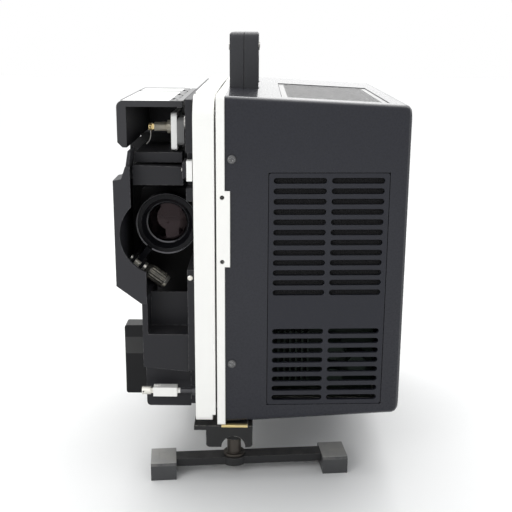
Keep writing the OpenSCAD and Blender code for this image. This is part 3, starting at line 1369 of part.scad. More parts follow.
// Pointer knob on the control pad: skirt, fluted grip and shaft
module control_knob(at, r, h, flutes) {
  x0 = x_deck - control_pad_t - 0.4;
  difference() {
    union() {
      turned_x(at, x0) polygon([[0, 0], [r, 0], [r, 3], [r - 1, 4], [r * 0.8, 4.4], [r * 0.76, h - 1], [r * 0.76 - 1, h], [0, h]]);
      rod_x(at, x0 - eps, x_deck_r - 0.4, control_shaft_r);
    }
    for (i = [0 : flutes - 1]) translate([0, at[0], at[1]]) rotate([i * 360 / flutes, 0, 0])
      translate([x0 - h - 1, 0, r * 0.8 + r * 0.02]) rotate([0, 90, 0]) cylinder(r = r * 0.07, h = h - 4);
  }
}

module function_knob() { color([0.08, 0.08, 0.08]) control_knob(function_at, function_r, 20, 12); }
module volume_knob() { color([0.08, 0.08, 0.08]) control_knob(volume_at, small_knob_r, 14, 12); }

film_side_frame();
cover_side_frame();
motor_cover();
front_louvre();
top_grille();
speaker_cloth();
speaker();
handle_left();
handle_right();
handle_pins();
case_screws();
power_inlet();
mechanism_deck();
lens_guard();
upper_film_guide();
sound_cover();
exit_box();
base_tray();
lens_holder();
gate_plate();
pressure_plate();
lamp_house();
lamp();
condenser_lens();
motor();
drive_belt();
base_plate();
transformer();
amplifier_board();
foot_bracket();
rear_foot_bar();
rear_feet();
pivot_pins();
motor_rotor();
blower_wheel();
shutter();
pull_down_claw();
feed_sprocket();
hold_back_sprocket();
sound_drum();
lens_barrel();
lens_glass();
focus_knob();
focus_shaft();
framing_lever();
supply_arm();
supply_spindle();
supply_lock();
take_up_arm();
take_up_belt_cover();
take_up_spindle();
take_up_lock();
hood_shell();
hood_panel();
elevator_post();
foot_bar();
front_foot_pads();
function_knob();
volume_knob();
lamp_door();
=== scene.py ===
"""Looks of a portable sound film projector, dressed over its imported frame.

Lengths are in metres in the part's own frame: +X to the right seen from the lens side, -Y the way
the lens points, +Z up, z = 0 on the table. Places are taken from the frame's nodes, so a piece
sits where the part says.
"""

import logging
import math
from dataclasses import dataclass
from enum import Enum

import bmesh
import bpy
import numpy as np
from mathutils import Matrix, Vector


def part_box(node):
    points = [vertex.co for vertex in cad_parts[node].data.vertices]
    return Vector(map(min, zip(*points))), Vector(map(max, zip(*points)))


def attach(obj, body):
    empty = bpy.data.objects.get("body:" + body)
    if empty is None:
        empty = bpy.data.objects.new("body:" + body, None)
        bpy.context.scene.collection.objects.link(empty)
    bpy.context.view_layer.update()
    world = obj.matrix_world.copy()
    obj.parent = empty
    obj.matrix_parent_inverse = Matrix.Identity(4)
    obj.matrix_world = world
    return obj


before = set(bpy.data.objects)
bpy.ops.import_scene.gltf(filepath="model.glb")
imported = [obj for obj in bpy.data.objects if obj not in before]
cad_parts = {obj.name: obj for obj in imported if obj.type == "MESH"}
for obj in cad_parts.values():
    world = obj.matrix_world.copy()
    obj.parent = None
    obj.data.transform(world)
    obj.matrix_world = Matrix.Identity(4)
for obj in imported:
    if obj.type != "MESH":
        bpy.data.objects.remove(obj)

LOG = logging.getLogger("projector")
MM = 0.001
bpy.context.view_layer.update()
SHARP_EDGE = math.radians(38)
WELD = 1e-6
SLIVER = 1e-7
COAT_ROUGHNESS = 0.08
ROUGHNESS_SWING = 0.6
# Colour of dust on what faces up; on the rubber pads the same mask paints a sheen on their tops.
DUST_AND_SHEEN_COLOUR = (0.42, 0.4, 0.37)
BRUSH_SCALE = 900.0
RIDGE_PITCH = 1.1 * MM

Colour = tuple[float, float, float]
Point = tuple[float, float, float]
Steps = tuple[tuple[float, float], ...]


class Axis(Enum):
    """Directions a turned or flat piece can face."""

    LEFT = (-1.0, 0.0, 0.0)
    FRONT = (0.0, -1.0, 0.0)
    UP = (0.0, 0.0, 1.0)

    def frame(self) -> np.ndarray:
        """Rows are two directions across the axis, then the axis itself, right-handed."""
        along = np.array(self.value)
        across = np.array((0.0, 0.0, 1.0)) if abs(along[2]) < 0.5 else np.array((1.0, 0.0, 0.0))
        return np.stack((across, np.cross(along, across), along))


def grid_faces(rows: int, columns: int, wrap_rows: bool, wrap_columns: bool) -> np.ndarray:
    """Quads between neighbours of a grid whose points are numbered row by row.

    Args:
        rows: Points along the first parameter.
        columns: Points along the second parameter.
        wrap_rows: Whether the last row joins the first.
        wrap_columns: Whether the last column joins the first.

    Returns:
        Array of four point numbers per face.
    """
    i = np.arange(rows if wrap_rows else rows - 1)[:, None]
    j = np.arange(columns if wrap_columns else columns - 1)[None, :]
    i2, j2 = (i + 1) % rows, (j + 1) % columns
    corners = (i * columns + j, i * columns + j2, i2 * columns + j2, i2 * columns + j)
    return np.stack([np.broadcast_to(c, (i.size, j.size)) for c in corners], axis=-1).reshape(-1, 4)


def surface(
    name: str,
    points: np.ndarray,
    body: str,
    wrap_rows: bool = False,
    wrap_columns: bool = False,
    capped: bool = False,
) -> bpy.types.Object:
    """One or more copies of a surface given as a grid of points, as a mesh that rides on a body.

    Args:
        name: Name of the piece.
        points: Array of shape (copies, rows, columns, 3), or (rows, columns, 3) for one copy.
        body: The moving body that carries the piece.
        wrap_rows: Whether the rows close on themselves.
        wrap_columns: Whether the columns close on themselves.
        capped: Whether the first and last rows are closed with a face.

    Returns:
        The new object, at the origin, smooth up to sharp edges.
    """
    stack = points[None] if points.ndim == 3 else points
    copies, rows, columns, _ = stack.shape
    quads = grid_faces(rows, columns, wrap_rows, wrap_columns)
    first = (np.arange(copies) * rows * columns)[:, None, None]
    faces = (quads[None] + first).reshape(-1, 4).tolist()
    if capped:
        start = np.arange(columns)[::-1][None] + first[:, 0]
        end = np.arange(columns)[None] + (rows - 1) * columns + first[:, 0]
        faces += start.tolist() + end.tolist()
    mesh = bpy.data.meshes.new(name)
    mesh.from_pydata(stack.reshape(-1, 3).tolist(), [], faces)
    tidy = bmesh.new()
    tidy.from_mesh(mesh)
    bmesh.ops.remove_doubles(tidy, verts=tidy.verts, dist=WELD)
    bmesh.ops.dissolve_degenerate(tidy, edges=tidy.edges, dist=SLIVER)
    bmesh.ops.recalc_face_normals(tidy, faces=tidy.faces)
    for edge in tidy.edges:
        edge.smooth = len(edge.link_faces) == 2 and edge.calc_face_angle(0.0) < SHARP_EDGE
    for face in tidy.faces:
        face.smooth = True
    tidy.to_mesh(mesh)
    tidy.free()
    piece = bpy.data.objects.new(name, mesh)
    bpy.context.scene.collection.objects.link(piece)
    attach(piece, body)
    LOG.info("%s rides on %s", name, body)
    return piece


def turned(profile: np.ndarray, centre: np.ndarray, axis: Axis, segments: int = 72) -> np.ndarray:
    """A profile carried round an axis: each (radius, distance) becomes a circle of that radius.

    Args:
        profile: Array of (radius, distance along the axis).
        centre: Where distance 0 lies.
        axis: Direction of the axis.
        segments: Points on each circle.

    Returns:
        Grid of points, one row per profile point, columns closing on themselves.
    """
    across, over, along = axis.frame()
    turn = np.linspace(0, 2 * np.pi, segments, endpoint=False)
    ring = np.cos(turn)[:, None] * across + np.sin(turn)[:, None] * over
    return centre + profile[:, :1, None] * ring[None] + profile[:, 1:, None] * along


def tube(path: np.ndarray, radius: float, sides: int = 10) -> np.ndarray:
    """A circle carried along a path, square to it, kept level with the path's own plane.

    Args:
        path: Array of points in order.
        radius: Radius of the circle.
        sides: Points on the circle.

    Returns:
        Grid of points, one row per path point, columns closing on themselves.
    """
    along = np.gradient(path, axis=0)
    along /= np.linalg.norm(along, axis=1, keepdims=True)
    spread = np.linalg.svd(path - path.mean(axis=0), full_matrices=True)[2][2]
    side = np.cross(along, spread)
    side /= np.linalg.norm(side, axis=1, keepdims=True)
    up = np.cross(side, along)
    turn = np.linspace(0, 2 * np.pi, sides, endpoint=False)[None, :, None]
    return path[:, None] + radius * (np.cos(turn) * side[:, None] + np.sin(turn) * up[:, None])


def smooth_path(knots: np.ndarray, steps: int = 12) -> np.ndarray:
    """A smooth curve through knots: cubic pieces whose slope at a knot follows its two neighbours.

    Args:
        knots: Array of points to pass through.
        steps: Points on each piece.

    Returns:
        Array of points along the curve.
    """
    padded = np.concatenate((2 * knots[:1] - knots[1:2], knots, 2 * knots[-1:] - knots[-2:-1]))
    a, b, c, d = padded[:-3], padded[1:-2], padded[2:-1], padded[3:]
    t = np.linspace(0, 1, steps, endpoint=False)[None, :, None]
    a, b, c, d = (p[:, None] for p in (a, b, c, d))
    square = (2 * a - 5 * b + 4 * c - d) * t**2
    cube = (3 * b - a - 3 * c + d) * t**3
    curve = 0.5 * (2 * b + (c - a) * t + square + cube)
    return np.concatenate((curve.reshape(-1, 3), knots[-1:]))


def plates(
    centres: np.ndarray, sizes: np.ndarray, axis: Axis, lift: float, turns: np.ndarray
) -> np.ndarray:
    """Thin plates with bevelled rims, lying on a surface that faces along an axis.

    Each is a rounded rectangle carried upwards: the rim starts full size and draws in by a
    quarter of the lift.

    Args:
        centres: Where each plate's underside is centred.
        sizes: Width and length of each plate.
        axis: The way the carrying surface faces.
        lift: Thickness of the plates.
        turns: Turn of each plate about the axis, in radians.

    Returns:
        Grids of points, one per plate, columns closing on themselves.
    """
    across, over, along = axis.frame()
    around, power = 24, 0.25
    corner = np.linspace(0, 2 * np.pi, around, endpoint=False)
    circle = np.stack((np.cos(corner), np.sin(corner)), axis=-1)
    shape = np.sign(circle) * np.abs(circle) ** power / 2
    heights = np.array((-0.2, 0.7, 1.0)) * lift
    inset = np.array((0.0, 0.0, 0.25)) * lift
    flat = shape[None, None] * (sizes[:, None, None] - 2 * inset[None, :, None, None])
    c, s = np.cos(turns)[:, None, None], np.sin(turns)[:, None, None]
    x, y = flat[..., 0] * c - flat[..., 1] * s, flat[..., 0] * s + flat[..., 1] * c
    rise = np.broadcast_to(heights[None, :, None], x.shape)
    flat_place = centres[:, None, None] + x[..., None] * across + y[..., None] * over
    return flat_place + rise[..., None] * along


def screw_heads(
    centres: np.ndarray, radius: float, axis: Axis, turns: np.ndarray
) -> np.ndarray:
    """Domed screw heads with a slot.

    A square grid is pressed into a disc, raised as a dome and sunk along its middle. The shape's
    own numbers are shares of the radius.

    Args:
        centres: Where each head's underside is centred.
        radius: Radius of a head.
        axis: The way the heads face.
        turns: Turn of each slot, in radians.

    Returns:
        Grids of points, one per head.
    """
    across, over, along = axis.frame()
    slot, wall = 0.14, 0.01
    height, floor, rim, skirt = 0.42, 0.12, 0.995, -0.05
    sunk = (wall - slot, slot - wall)
    u = np.concatenate((np.linspace(-1, -slot, 7), sunk, np.linspace(slot, 1, 7)))[:, None]
    v = np.linspace(-1, 1, 15)[None, :]
    x = u * np.sqrt(1 - v**2 / 2)
    y = v * np.sqrt(1 - u**2 / 2)
    spread = np.clip(x**2 + y**2, 0, 1)
    dome = height * np.sqrt(1.02 - spread**2)
    rise = np.where(np.abs(u) < slot - wall / 2, np.minimum(dome, floor), dome) * np.ones_like(v)
    rise = np.where(spread > rim, skirt, rise)
    c, s = np.cos(turns)[:, None, None], np.sin(turns)[:, None, None]
    px, py = x * c - y * s, x * s + y * c
    rise = np.broadcast_to(rise, px.shape)
    local = px[..., None] * across + py[..., None] * over + rise[..., None] * along
    return centres[:, None, None] + radius * local


class Tree:
    """A shader node tree with short calls for adding and linking nodes."""

    def __init__(self, tree: bpy.types.ShaderNodeTree) -> None:
        """Wraps a node tree and clears it."""
        self.tree = tree
        tree.nodes.clear()

    def add(self, kind: str, **values: object) -> bpy.types.Node:
        """Adds a node.

        Args:
            kind: Node type without its ShaderNode prefix.
            **values: Properties of the node, or inputs by name with spaces as underscores.

        Returns:
            The new node.
        """
        node = self.tree.nodes.new(kind if kind.startswith("Node") else "ShaderNode" + kind)
        for key, value in values.items():
            if hasattr(node, key) and key not in ("inputs", "outputs"):
                setattr(node, key, value)
            else:
                self.set(node.inputs[key.replace("_", " ")], value)
        return node

    def set(self, socket: bpy.types.NodeSocket, value: object) -> None:
        """Links a socket to another node's output, or gives it a plain value."""
        if isinstance(value, bpy.types.NodeSocket):
            self.tree.links.new(value, socket)
        elif isinstance(value, tuple) and len(value) == 3 and socket.type == "RGBA":
            socket.default_value = (*value, 1.0)
        else:
            socket.default_value = value

    def math(self, operation: str, *values: object) -> bpy.types.NodeSocket:
        """Result of a Math node on values or sockets."""
        node = self.add("Math", operation=operation)
        for socket, value in zip(node.inputs, values):
            self.set(socket, value)
        return node.outputs[0]

    def blend(self, factor: object, first: object, second: object) -> bpy.types.NodeSocket:
        """Colour that goes from first to second as factor goes from 0 to 1."""
        node = self.add("Mix", data_type="RGBA", clamp_factor=True)
        sockets = (node.inputs[0], node.inputs[6], node.inputs[7])
        for socket, value in zip(sockets, (factor, first, second)):
            self.set(socket, value)
        return node.outputs[2]


class Effect(Enum):
    """Shared surface effects, each a shader node group built once."""

    GRAIN = "moulded_grain"
    DRIFT = "colour_drift"
    EDGES = "worn_and_highlit_edges"
    DUST_AND_SHEEN = "settled_dust_and_sheen"
    BRUSHED = "brushed_lines"
    WEAVE = "open_weave"
    RIDGES = "turned_ridges"
    BAND = "painted_band"

    def group(self) -> bpy.types.ShaderNodeTree:
        """The effect's node group, made on first use."""
        return bpy.data.node_groups.get(self.value) or EffectMaker(self).build()


@dataclass
class EffectMaker:
    """Builds the node group of one effect."""

    effect: Effect

    def build(self) -> bpy.types.ShaderNodeTree:
        """Makes the group with its sockets and nodes.

        Returns:
            The finished group.
        """
        self.group = bpy.data.node_groups.new(self.effect.value, "ShaderNodeTree")
        self.inside = Tree(self.group)
        self.entry = self.inside.add("NodeGroupInput")
        self.exit = self.inside.add("NodeGroupOutput")
        getattr(self, self.effect.name.lower())()
        return self.group

    def takes(self, name: str, kind: str, value: object) -> bpy.types.NodeSocket:
        """Adds a named input and returns the socket that carries it inside the group."""
        sockets = self.group.interface
        made = sockets.new_socket(name=name, in_out="INPUT", socket_type="NodeSocket" + kind)
        made.default_value = value
        return self.entry.outputs[name]

    def gives(self, name: str, kind: str, value: bpy.types.NodeSocket) -> None:
        """Adds a named output fed by a socket."""
        sockets = self.group.interface
        sockets.new_socket(name=name, in_out="OUTPUT", socket_type="NodeSocket" + kind)
        self.inside.set(self.exit.inputs[name], value)

    def place(self) -> bpy.types.NodeSocket:
        """Coordinates of the surface in the part's frame."""
        return self.inside.add("TexCoord").outputs["Object"]

    def grain(self) -> None:
        """Pebbled moulding: rounded cells mixed with fine noise, as a height."""
        scale = self.takes("Scale", "Float", 1500.0)
        cells = self.inside.add("TexVoronoi", feature="SMOOTH_F1", Vector=self.place(), Scale=scale)
        wider = self.inside.math("MULTIPLY", scale, 0.7)
        fine = self.inside.add("TexNoise", Vector=self.place(), Scale=wider, Detail=3.0)
        mixed = self.inside.math("ADD", cells.outputs["Distance"], fine.outputs["Fac"])
        self.gives("Height", "Float", self.inside.math("MULTIPLY", mixed, 0.5))

    def drift(self) -> None:
        """Slow change of a colour's brightness over the surface, and of its roughness."""
        colour = self.takes("Color", "Color", (0.5, 0.5, 0.5, 1.0))
        scale = self.takes("Scale", "Float", 25.0)
        amount = self.takes("Amount", "Float", 0.1)
        noise = self.inside.add(
            "TexNoise", Vector=self.place(), Scale=scale, Detail=6.0, Roughness=0.6
        )
        centred = self.inside.math("SUBTRACT", noise.outputs["Fac"], 0.5)
        swing = self.inside.math("MULTIPLY", centred, amount)
        changed = self.inside.add("HueSaturation", Color=colour)
        self.inside.set(changed.inputs["Value"], self.inside.math("ADD", swing, 1.0))
        self.gives("Color", "Color", changed.outputs["Color"])
        self.gives("Swing", "Float", swing)

    def edges(self) -> None:
        """Rounded edges and a mask along them for wear and painted highlights: the normal of a
        softened surface, and how far it leans away.
        """
        radius = self.takes("Radius", "Float", 0.0006)
        soft = self.inside.add("Bevel", samples=6)
        self.inside.set(soft.inputs["Radius"], radius)
        lean = self.inside.add("VectorMath", operation="DOT_PRODUCT")
        self.inside.set(lean.inputs[0], soft.outputs["Normal"])
        self.inside.set(lean.inputs[1], self.inside.add("NewGeometry").outputs["Normal"])
        speck = self.inside.add("TexNoise", Vector=self.place(), Scale=420.0, Detail=5.0)
        leaning = self.inside.math("SUBTRACT", 1.0, lean.outputs["Value"])
        away = self.inside.math("MULTIPLY", leaning, 5.0)
        broken = self.inside.add(
            "MapRange", Value=speck.outputs["Fac"], From_Min=0.42, From_Max=0.62
        )
        self.gives("Normal", "Vector", soft.outputs["Normal"])
        wear_and_highlight_mask = self.inside.math("MULTIPLY", away, broken.outputs[0])
        self.gives("Wear_and_highlight", "Float", self.inside.math("MINIMUM", wear_and_highlight_mask, 1.0))

    def dust_and_sheen(self) -> None:
        """Dust on what faces up, and on the rubber pads a painted sheen on their tops: the upward
        part of the normal, broken by noise.
        """
        amount = self.takes("Amount", "Float", 0.2)
        facing = self.inside.add("SeparateXYZ")
        self.inside.set(facing.inputs[0], self.inside.add("NewGeometry").outputs["Normal"])
        up = self.inside.add("MapRange", Value=facing.outputs["Z"], From_Min=0.5, From_Max=1.0)
        noise = self.inside.add(
            "TexNoise", Vector=self.place(), Scale=90.0, Detail=8.0, Roughness=0.7
        )
        patch = self.inside.add(
            "MapRange", Value=noise.outputs["Fac"], From_Min=0.35, From_Max=0.75
        )
        lying = self.inside.math("MULTIPLY", up.outputs[0], patch.outputs[0])
        self.gives("Mask", "Float", self.inside.math("MULTIPLY", lying, amount))

    def brushed(self) -> None:
        """Fine drawn lines along X: noise stretched forty to one, as a height."""
        scale = self.takes("Scale", "Float", 900.0)
        stretched = self.inside.add("Mapping", Vector=self.place(), Scale=(0.025, 1.0, 1.0))
        lines = self.inside.add("TexNoise", Vector=stretched.outputs[0], Scale=scale, Detail=4.0)
        self.gives("Height", "Float", lines.outputs["Fac"])

    def weave(self) -> None:
        """Open threads: two sets of waves at right angles, the higher on top, broken by noise."""
        pitch = self.takes("Pitch", "Float", 0.0014)
        parts = self.inside.add("SeparateXYZ")
        self.inside.set(parts.inputs[0], self.place())
        turn = self.inside.math("DIVIDE", 2 * math.pi, pitch)
        warp = self.inside.math("SINE", self.inside.math("MULTIPLY", parts.outputs["X"], turn))
        weft = self.inside.math("SINE", self.inside.math("MULTIPLY", parts.outputs["Z"], turn))
        speck = self.inside.add("TexNoise", Vector=self.place(), Scale=1400.0, Detail=2.0)
        high = self.inside.math("MAXIMUM", warp, weft)
        self.gives("Height", "Float", self.inside.math("MULTIPLY", high, speck.outputs["Fac"]))

    def ridges(self) -> None:
        """Fine turned ridges across X: a sine of the distance along X."""
        pitch = self.takes("Pitch", "Float", 0.001)
        parts = self.inside.add("SeparateXYZ")
        self.inside.set(parts.inputs[0], self.place())
        turn = self.inside.math("DIVIDE", 2 * math.pi, pitch)
        wave = self.inside.math("MULTIPLY", parts.outputs["X"], turn)
        self.gives("Height", "Float", self.inside.math("SINE", wave))

    def band(self) -> None:
        """Band of a second colour: 1 where the distance along a direction lies in a range."""
        along = self.takes("Along", "Vector", (0.0, 0.0, 1.0))
        low = self.takes("Low", "Float", 0.0)
        high = self.takes("High", "Float", 1.0)
        reach = self.inside.add("VectorMath", operation="DOT_PRODUCT")
        self.inside.set(reach.inputs[0], self.place())
        self.inside.set(reach.inputs[1], along)
        above = self.inside.math("GREATER_THAN", reach.outputs["Value"], low)
        below = self.inside.math("LESS_THAN", reach.outputs["Value"], high)
        self.gives("Mask", "Float", self.inside.math("MULTIPLY", above, below))


@dataclass(frozen=True)
class Band:
    """Part of a piece in a second colour, between two distances along a direction."""

    along: Point
    low: float
    high: float
    colour: Colour
    metallic: float = 0.0


@dataclass(frozen=True)
class Finish:
    """A surface finish: what it is made of, how it has aged, and the highlights and sheen painted
    along its edges and on its tops.
    """

    name: str
    colour: Colour
    roughness: float = 0.5
    metallic: float = 0.0
    specular: float = 0.5
    coat: float = 0.0
    drift: float = 0.12
    drift_scale: float = 25.0
    grain: float = 0.0
    grain_scale: float = 1500.0
    brushed: float = 0.0
    weave: float = 0.0
    weave_pitch: float = 0.0014
    edge: float = 0.0006
    wear_and_highlight: float = 0.0
    wear_and_highlight_colour: Colour = (0.3, 0.3, 0.3)
    dust_and_sheen: float = 0.0
    ridges: float = 0.0
    transmission: float = 0.0
    ior: float = 1.5
    tint: Colour = (1.0, 1.0, 1.0)
    band: "Band | None" = None

    def material(self) -> bpy.types.Material:
        """The finish as a material, made on first use.

        Returns:
            A node material whose shader is fed by the shared effects.
        """
        label = f"{self.name}_finish"
        ready = bpy.data.materials.get(label)
        if ready:
            return ready
        made = bpy.data.materials.new(label)
        made.use_nodes = True
        made.diffuse_color = (*self.colour, 1.0)
        tree = Tree(made.node_tree)
        shader = tree.add("BsdfPrincipled", Metallic=self.metallic, IOR=self.ior)
        tree.set(shader.inputs["Coat Weight"], self.coat)
        tree.set(shader.inputs["Coat Roughness"], COAT_ROUGHNESS)
        tree.set(shader.inputs["Specular IOR Level"], self.specular)
        tree.set(shader.inputs["Specular Tint"], self.tint)
        tree.set(shader.inputs["Transmission Weight"], self.transmission)
        colour, swing = self._colour(tree)
        if self.band:
            values = {"Along": self.band.along, "Low": self.band.low, "High": self.band.high}
            mask = self._effect(tree, Effect.BAND, **values).outputs["Mask"]
            colour = tree.blend(mask, colour, self.band.colour)
            share = tree.math("MULTIPLY", mask, self.band.metallic - self.metallic)
            tree.set(shader.inputs["Metallic"], tree.math("ADD", share, self.metallic))
        edges = self._effect(tree, Effect.EDGES, Radius=self.edge)
        # Lighter colour along edges: wear, and on several black parts a painted highlight.
        if self.wear_and_highlight:
            wear_and_highlight_mask = tree.math("MULTIPLY", edges.outputs["Wear_and_highlight"], self.wear_and_highlight)
            colour = tree.blend(wear_and_highlight_mask, colour, self.wear_and_highlight_colour)
        # Dust, and the painted sheen on the pads' tops, lighten what faces up.
        if self.dust_and_sheen:
            dust_and_sheen = self._effect(tree, Effect.DUST_AND_SHEEN, Amount=self.dust_and_sheen)
            colour = tree.blend(dust_and_sheen.outputs["Mask"], colour, DUST_AND_SHEEN_COLOUR)
        tree.set(shader.inputs["Base Color"], colour)
        gloss = tree.math("MULTIPLY", swing, ROUGHNESS_SWING)
        tree.set(shader.inputs["Roughness"], tree.math("ADD", gloss, self.roughness))
        tree.set(shader.inputs["Normal"], self._relief(tree, edges.outputs["Normal"]))
        tree.add("OutputMaterial", Surface=shader.outputs[0])
        return made

    def _effect(self, tree: Tree, effect: Effect, **values: object) -> bpy.types.Node:
        """Places a shared effect in this material with its own values."""
        node = tree.add("Group", node_tree=effect.group())
        for key, value in values.items():
            tree.set(node.inputs[key], value)
        return node

    def _colour(self, tree: Tree) -> tuple[bpy.types.NodeSocket, bpy.types.NodeSocket]:
        """Colour with its slow drift, and the drift itself."""
        values = {"Color": self.colour, "Scale": self.drift_scale, "Amount": self.drift}
        node = self._effect(tree, Effect.DRIFT, **values)
        return node.outputs["Color"], node.outputs["Swing"]

    def _relief(self, tree: Tree, normal: bpy.types.NodeSocket) -> bpy.types.NodeSocket:
        """Normal with the grain, drawn lines, weave or ridges on top of the softened edges."""
        reliefs = (
            (self.grain, Effect.GRAIN, {"Scale": self.grain_scale}),
            (self.brushed, Effect.BRUSHED, {"Scale": BRUSH_SCALE}),
            (self.weave, Effect.WEAVE, {"Pitch": self.weave_pitch}),
            (self.ridges, Effect.RIDGES, {"Pitch": RIDGE_PITCH}),
        )
        for depth, effect, values in reliefs:
            if depth:
                height = self._effect(tree, effect, **values).outputs["Height"]
                bump = tree.add("Bump", Strength=1.0, Distance=depth, Height=height, Normal=normal)
                normal = bump.outputs["Normal"]
        return normal

    def dress(self, *pieces: bpy.types.Object) -> None:
        """Gives pieces this finish."""
        for piece in pieces:
            piece.data.materials.clear()
            piece.data.materials.append(self.material())


COVER_BLACK = Finish(
    "cover_black", (0.0145, 0.0155, 0.022), 0.28, specular=0.1, coat=0.5, grain=0.00012,
    grain_scale=1300, drift=0.4, drift_scale=600, wear_and_highlight=0.35, wear_and_highlight_colour=(0.07, 0.07, 0.075),
    dust_and_sheen=0.06, edge=0.0008,
)
LOUVRE_BLACK = Finish(
    "louvre_black", (0.015, 0.016, 0.0225), 0.4, specular=0.3, grain=0.00008, grain_scale=1300,
    drift=0.15, wear_and_highlight=0.3, wear_and_highlight_colour=(0.06, 0.06, 0.065), edge=0.0005,
)
HANDLE_BLACK = Finish(
    "handle_black", (0.036, 0.037, 0.041), 0.42, specular=0.3, grain=0.0001, grain_scale=900,
    drift=0.2, wear_and_highlight=0.45, wear_and_highlight_colour=(0.09, 0.09, 0.09), dust_and_sheen=0.08, edge=0.0012,
)
# Its band along the hood's rounded front edge is a painted highlight.
HOOD_BLACK = Finish(
    "hood_black", (0.011, 0.011, 0.013), 0.4, specular=0.25, grain=0.00008, drift=0.15, wear_and_highlight=0.45,
    wear_and_highlight_colour=(0.12, 0.12, 0.12), edge=0.0008,
    band=Band((0.0, 1.0, 0.0), -0.14, -0.1296, (0.036, 0.036, 0.039)),
)
# The pale colour along its edges is a painted highlight.
DECK_BLACK = Finish(
    "deck_black", (0.013, 0.013, 0.016), 0.5, specular=0.3, grain=0.00005, grain_scale=2200,
    drift=0.2, wear_and_highlight=0.75, wear_and_highlight_colour=(0.22, 0.22, 0.22), dust_and_sheen=0.05, edge=0.0008,
)
# The pale colour along its edges is a painted highlight.
GUARD_GREY = Finish(
    "guard_grey", (0.022, 0.022, 0.026), 0.5, specular=0.3, grain=0.00006, grain_scale=1800,
    drift=0.15, wear_and_highlight=0.75, wear_and_highlight_colour=(0.22, 0.22, 0.225), edge=0.0009,
)
GLOSS_BLACK = Finish(
    "gloss_black", (0.007, 0.007, 0.008), 0.2, specular=0.4, drift=0.2, wear_and_highlight=0.2, edge=0.0006,
)
IVORY_PAINT = Finish(
    "ivory_paint", (0.94, 0.935, 0.9), 0.42, drift=0.04, drift_scale=14, grain=0.00003,
    grain_scale=600, wear_and_highlight=0.2, wear_and_highlight_colour=(0.6, 0.58, 0.5), edge=0.0009,
)
WHITE_PLASTIC = Finish(
    "white_plastic", (0.92, 0.92, 0.9), 0.38, drift=0.05, grain=0.00003, wear_and_highlight=0.15,
    wear_and_highlight_colour=(0.6, 0.58, 0.52), dust_and_sheen=0.05, edge=0.0006,
)
GREY_PLASTIC = Finish(
    "grey_plastic", (0.15, 0.15, 0.15), 0.5, drift=0.12, grain=0.00006, wear_and_highlight=0.3, edge=0.0006,
)
GRILLE_DARK = Finish(
    "grille_dark", (0.05, 0.05, 0.05), 0.3, coat=0.4, drift=0.2, grain=0.00004, wear_and_highlight=0.35,
    wear_and_highlight_colour=(0.12, 0.12, 0.12), dust_and_sheen=0.12, edge=0.0004,
)
BRIGHT_STEEL = Finish(
    "bright_steel", (0.8, 0.78, 0.72), 0.3, metallic=0.8, brushed=0.00003, drift=0.12, edge=0.0004,
)
SATIN_STEEL = Finish(
    "satin_steel", (0.42, 0.41, 0.39), 0.4, metallic=1.0, brushed=0.00004, drift=0.3, edge=0.0005,
)
POST_STEEL = Finish(
    "post_steel", (0.085, 0.075, 0.065), 0.42, metallic=0.8, brushed=0.00005, drift=0.5,
    drift_scale=120, edge=0.0005,
)
RIDGED_NICKEL = Finish(
    "ridged_nickel", (0.7, 0.66, 0.56), 0.3, metallic=0.85, ridges=0.00025, drift=0.2, edge=0.0003,
)
SEAT_WHITE = Finish(
    "seat_white", (0.9, 0.89, 0.86), 0.32, drift=0.05, edge=0.0006,
    band=Band((1.0, 0.0, 0.0), -0.0671, 0.0, (0.06, 0.06, 0.065), 0.4),
)
DARK_SCREW = Finish(
    "dark_screw", (0.012, 0.012, 0.012), 0.35, metallic=0.3, drift=0.2, wear_and_highlight=1.0,
    wear_and_highlight_colour=(0.7, 0.7, 0.7), edge=0.0006,
    band=Band((1.0, 0.0, 0.0), -0.0265, 0.2, (0.12, 0.12, 0.122), 0.6),
)
INNER_BLACK = Finish(
    "inner_black", (0.007, 0.007, 0.0078), 0.6, specular=0.25, grain=0.00005, grain_scale=2200,
    drift=0.3, edge=0.0006,
)
# The grey band across it is a painted reflection.
EXIT_BLACK = Finish(
    "exit_black", (0.006, 0.006, 0.007), 0.2, specular=0.2, drift=0.2, edge=0.0008,
    band=Band((0.0, 0.0, 1.0), 0.0995, 0.1145, (0.04, 0.04, 0.04)),
)
# The pale colour along its edges is a painted highlight; the brass band is the strip's own colour.
BRACKET_DARK = Finish(
    "bracket_dark", (0.011, 0.011, 0.0115), 0.42, specular=0.35, drift=0.5, drift_scale=90,
    wear_and_highlight=0.95, wear_and_highlight_colour=(0.34, 0.33, 0.3), dust_and_sheen=0.1, edge=0.001,
    band=Band((0.0, 1.0, 0.0), -0.16, -0.1461, (0.75, 0.6, 0.28), 0.7),
)
BRASS = Finish(
    "brass", (0.8, 0.62, 0.3), 0.26, metallic=0.85, brushed=0.00002, drift=0.15, edge=0.0004,
)
# The pale colour along its edges is a painted highlight.
LENS_BLACK = Finish(
    "lens_black", (0.009, 0.009, 0.011), 0.2, specular=0.12, drift=0.1, wear_and_highlight=0.5,
    wear_and_highlight_colour=(0.2, 0.2, 0.21), edge=0.0005,
)
LENS_RING = Finish("lens_ring", (0.1, 0.1, 0.108), 0.15, metallic=0.9, drift=0.15, edge=0.0003)
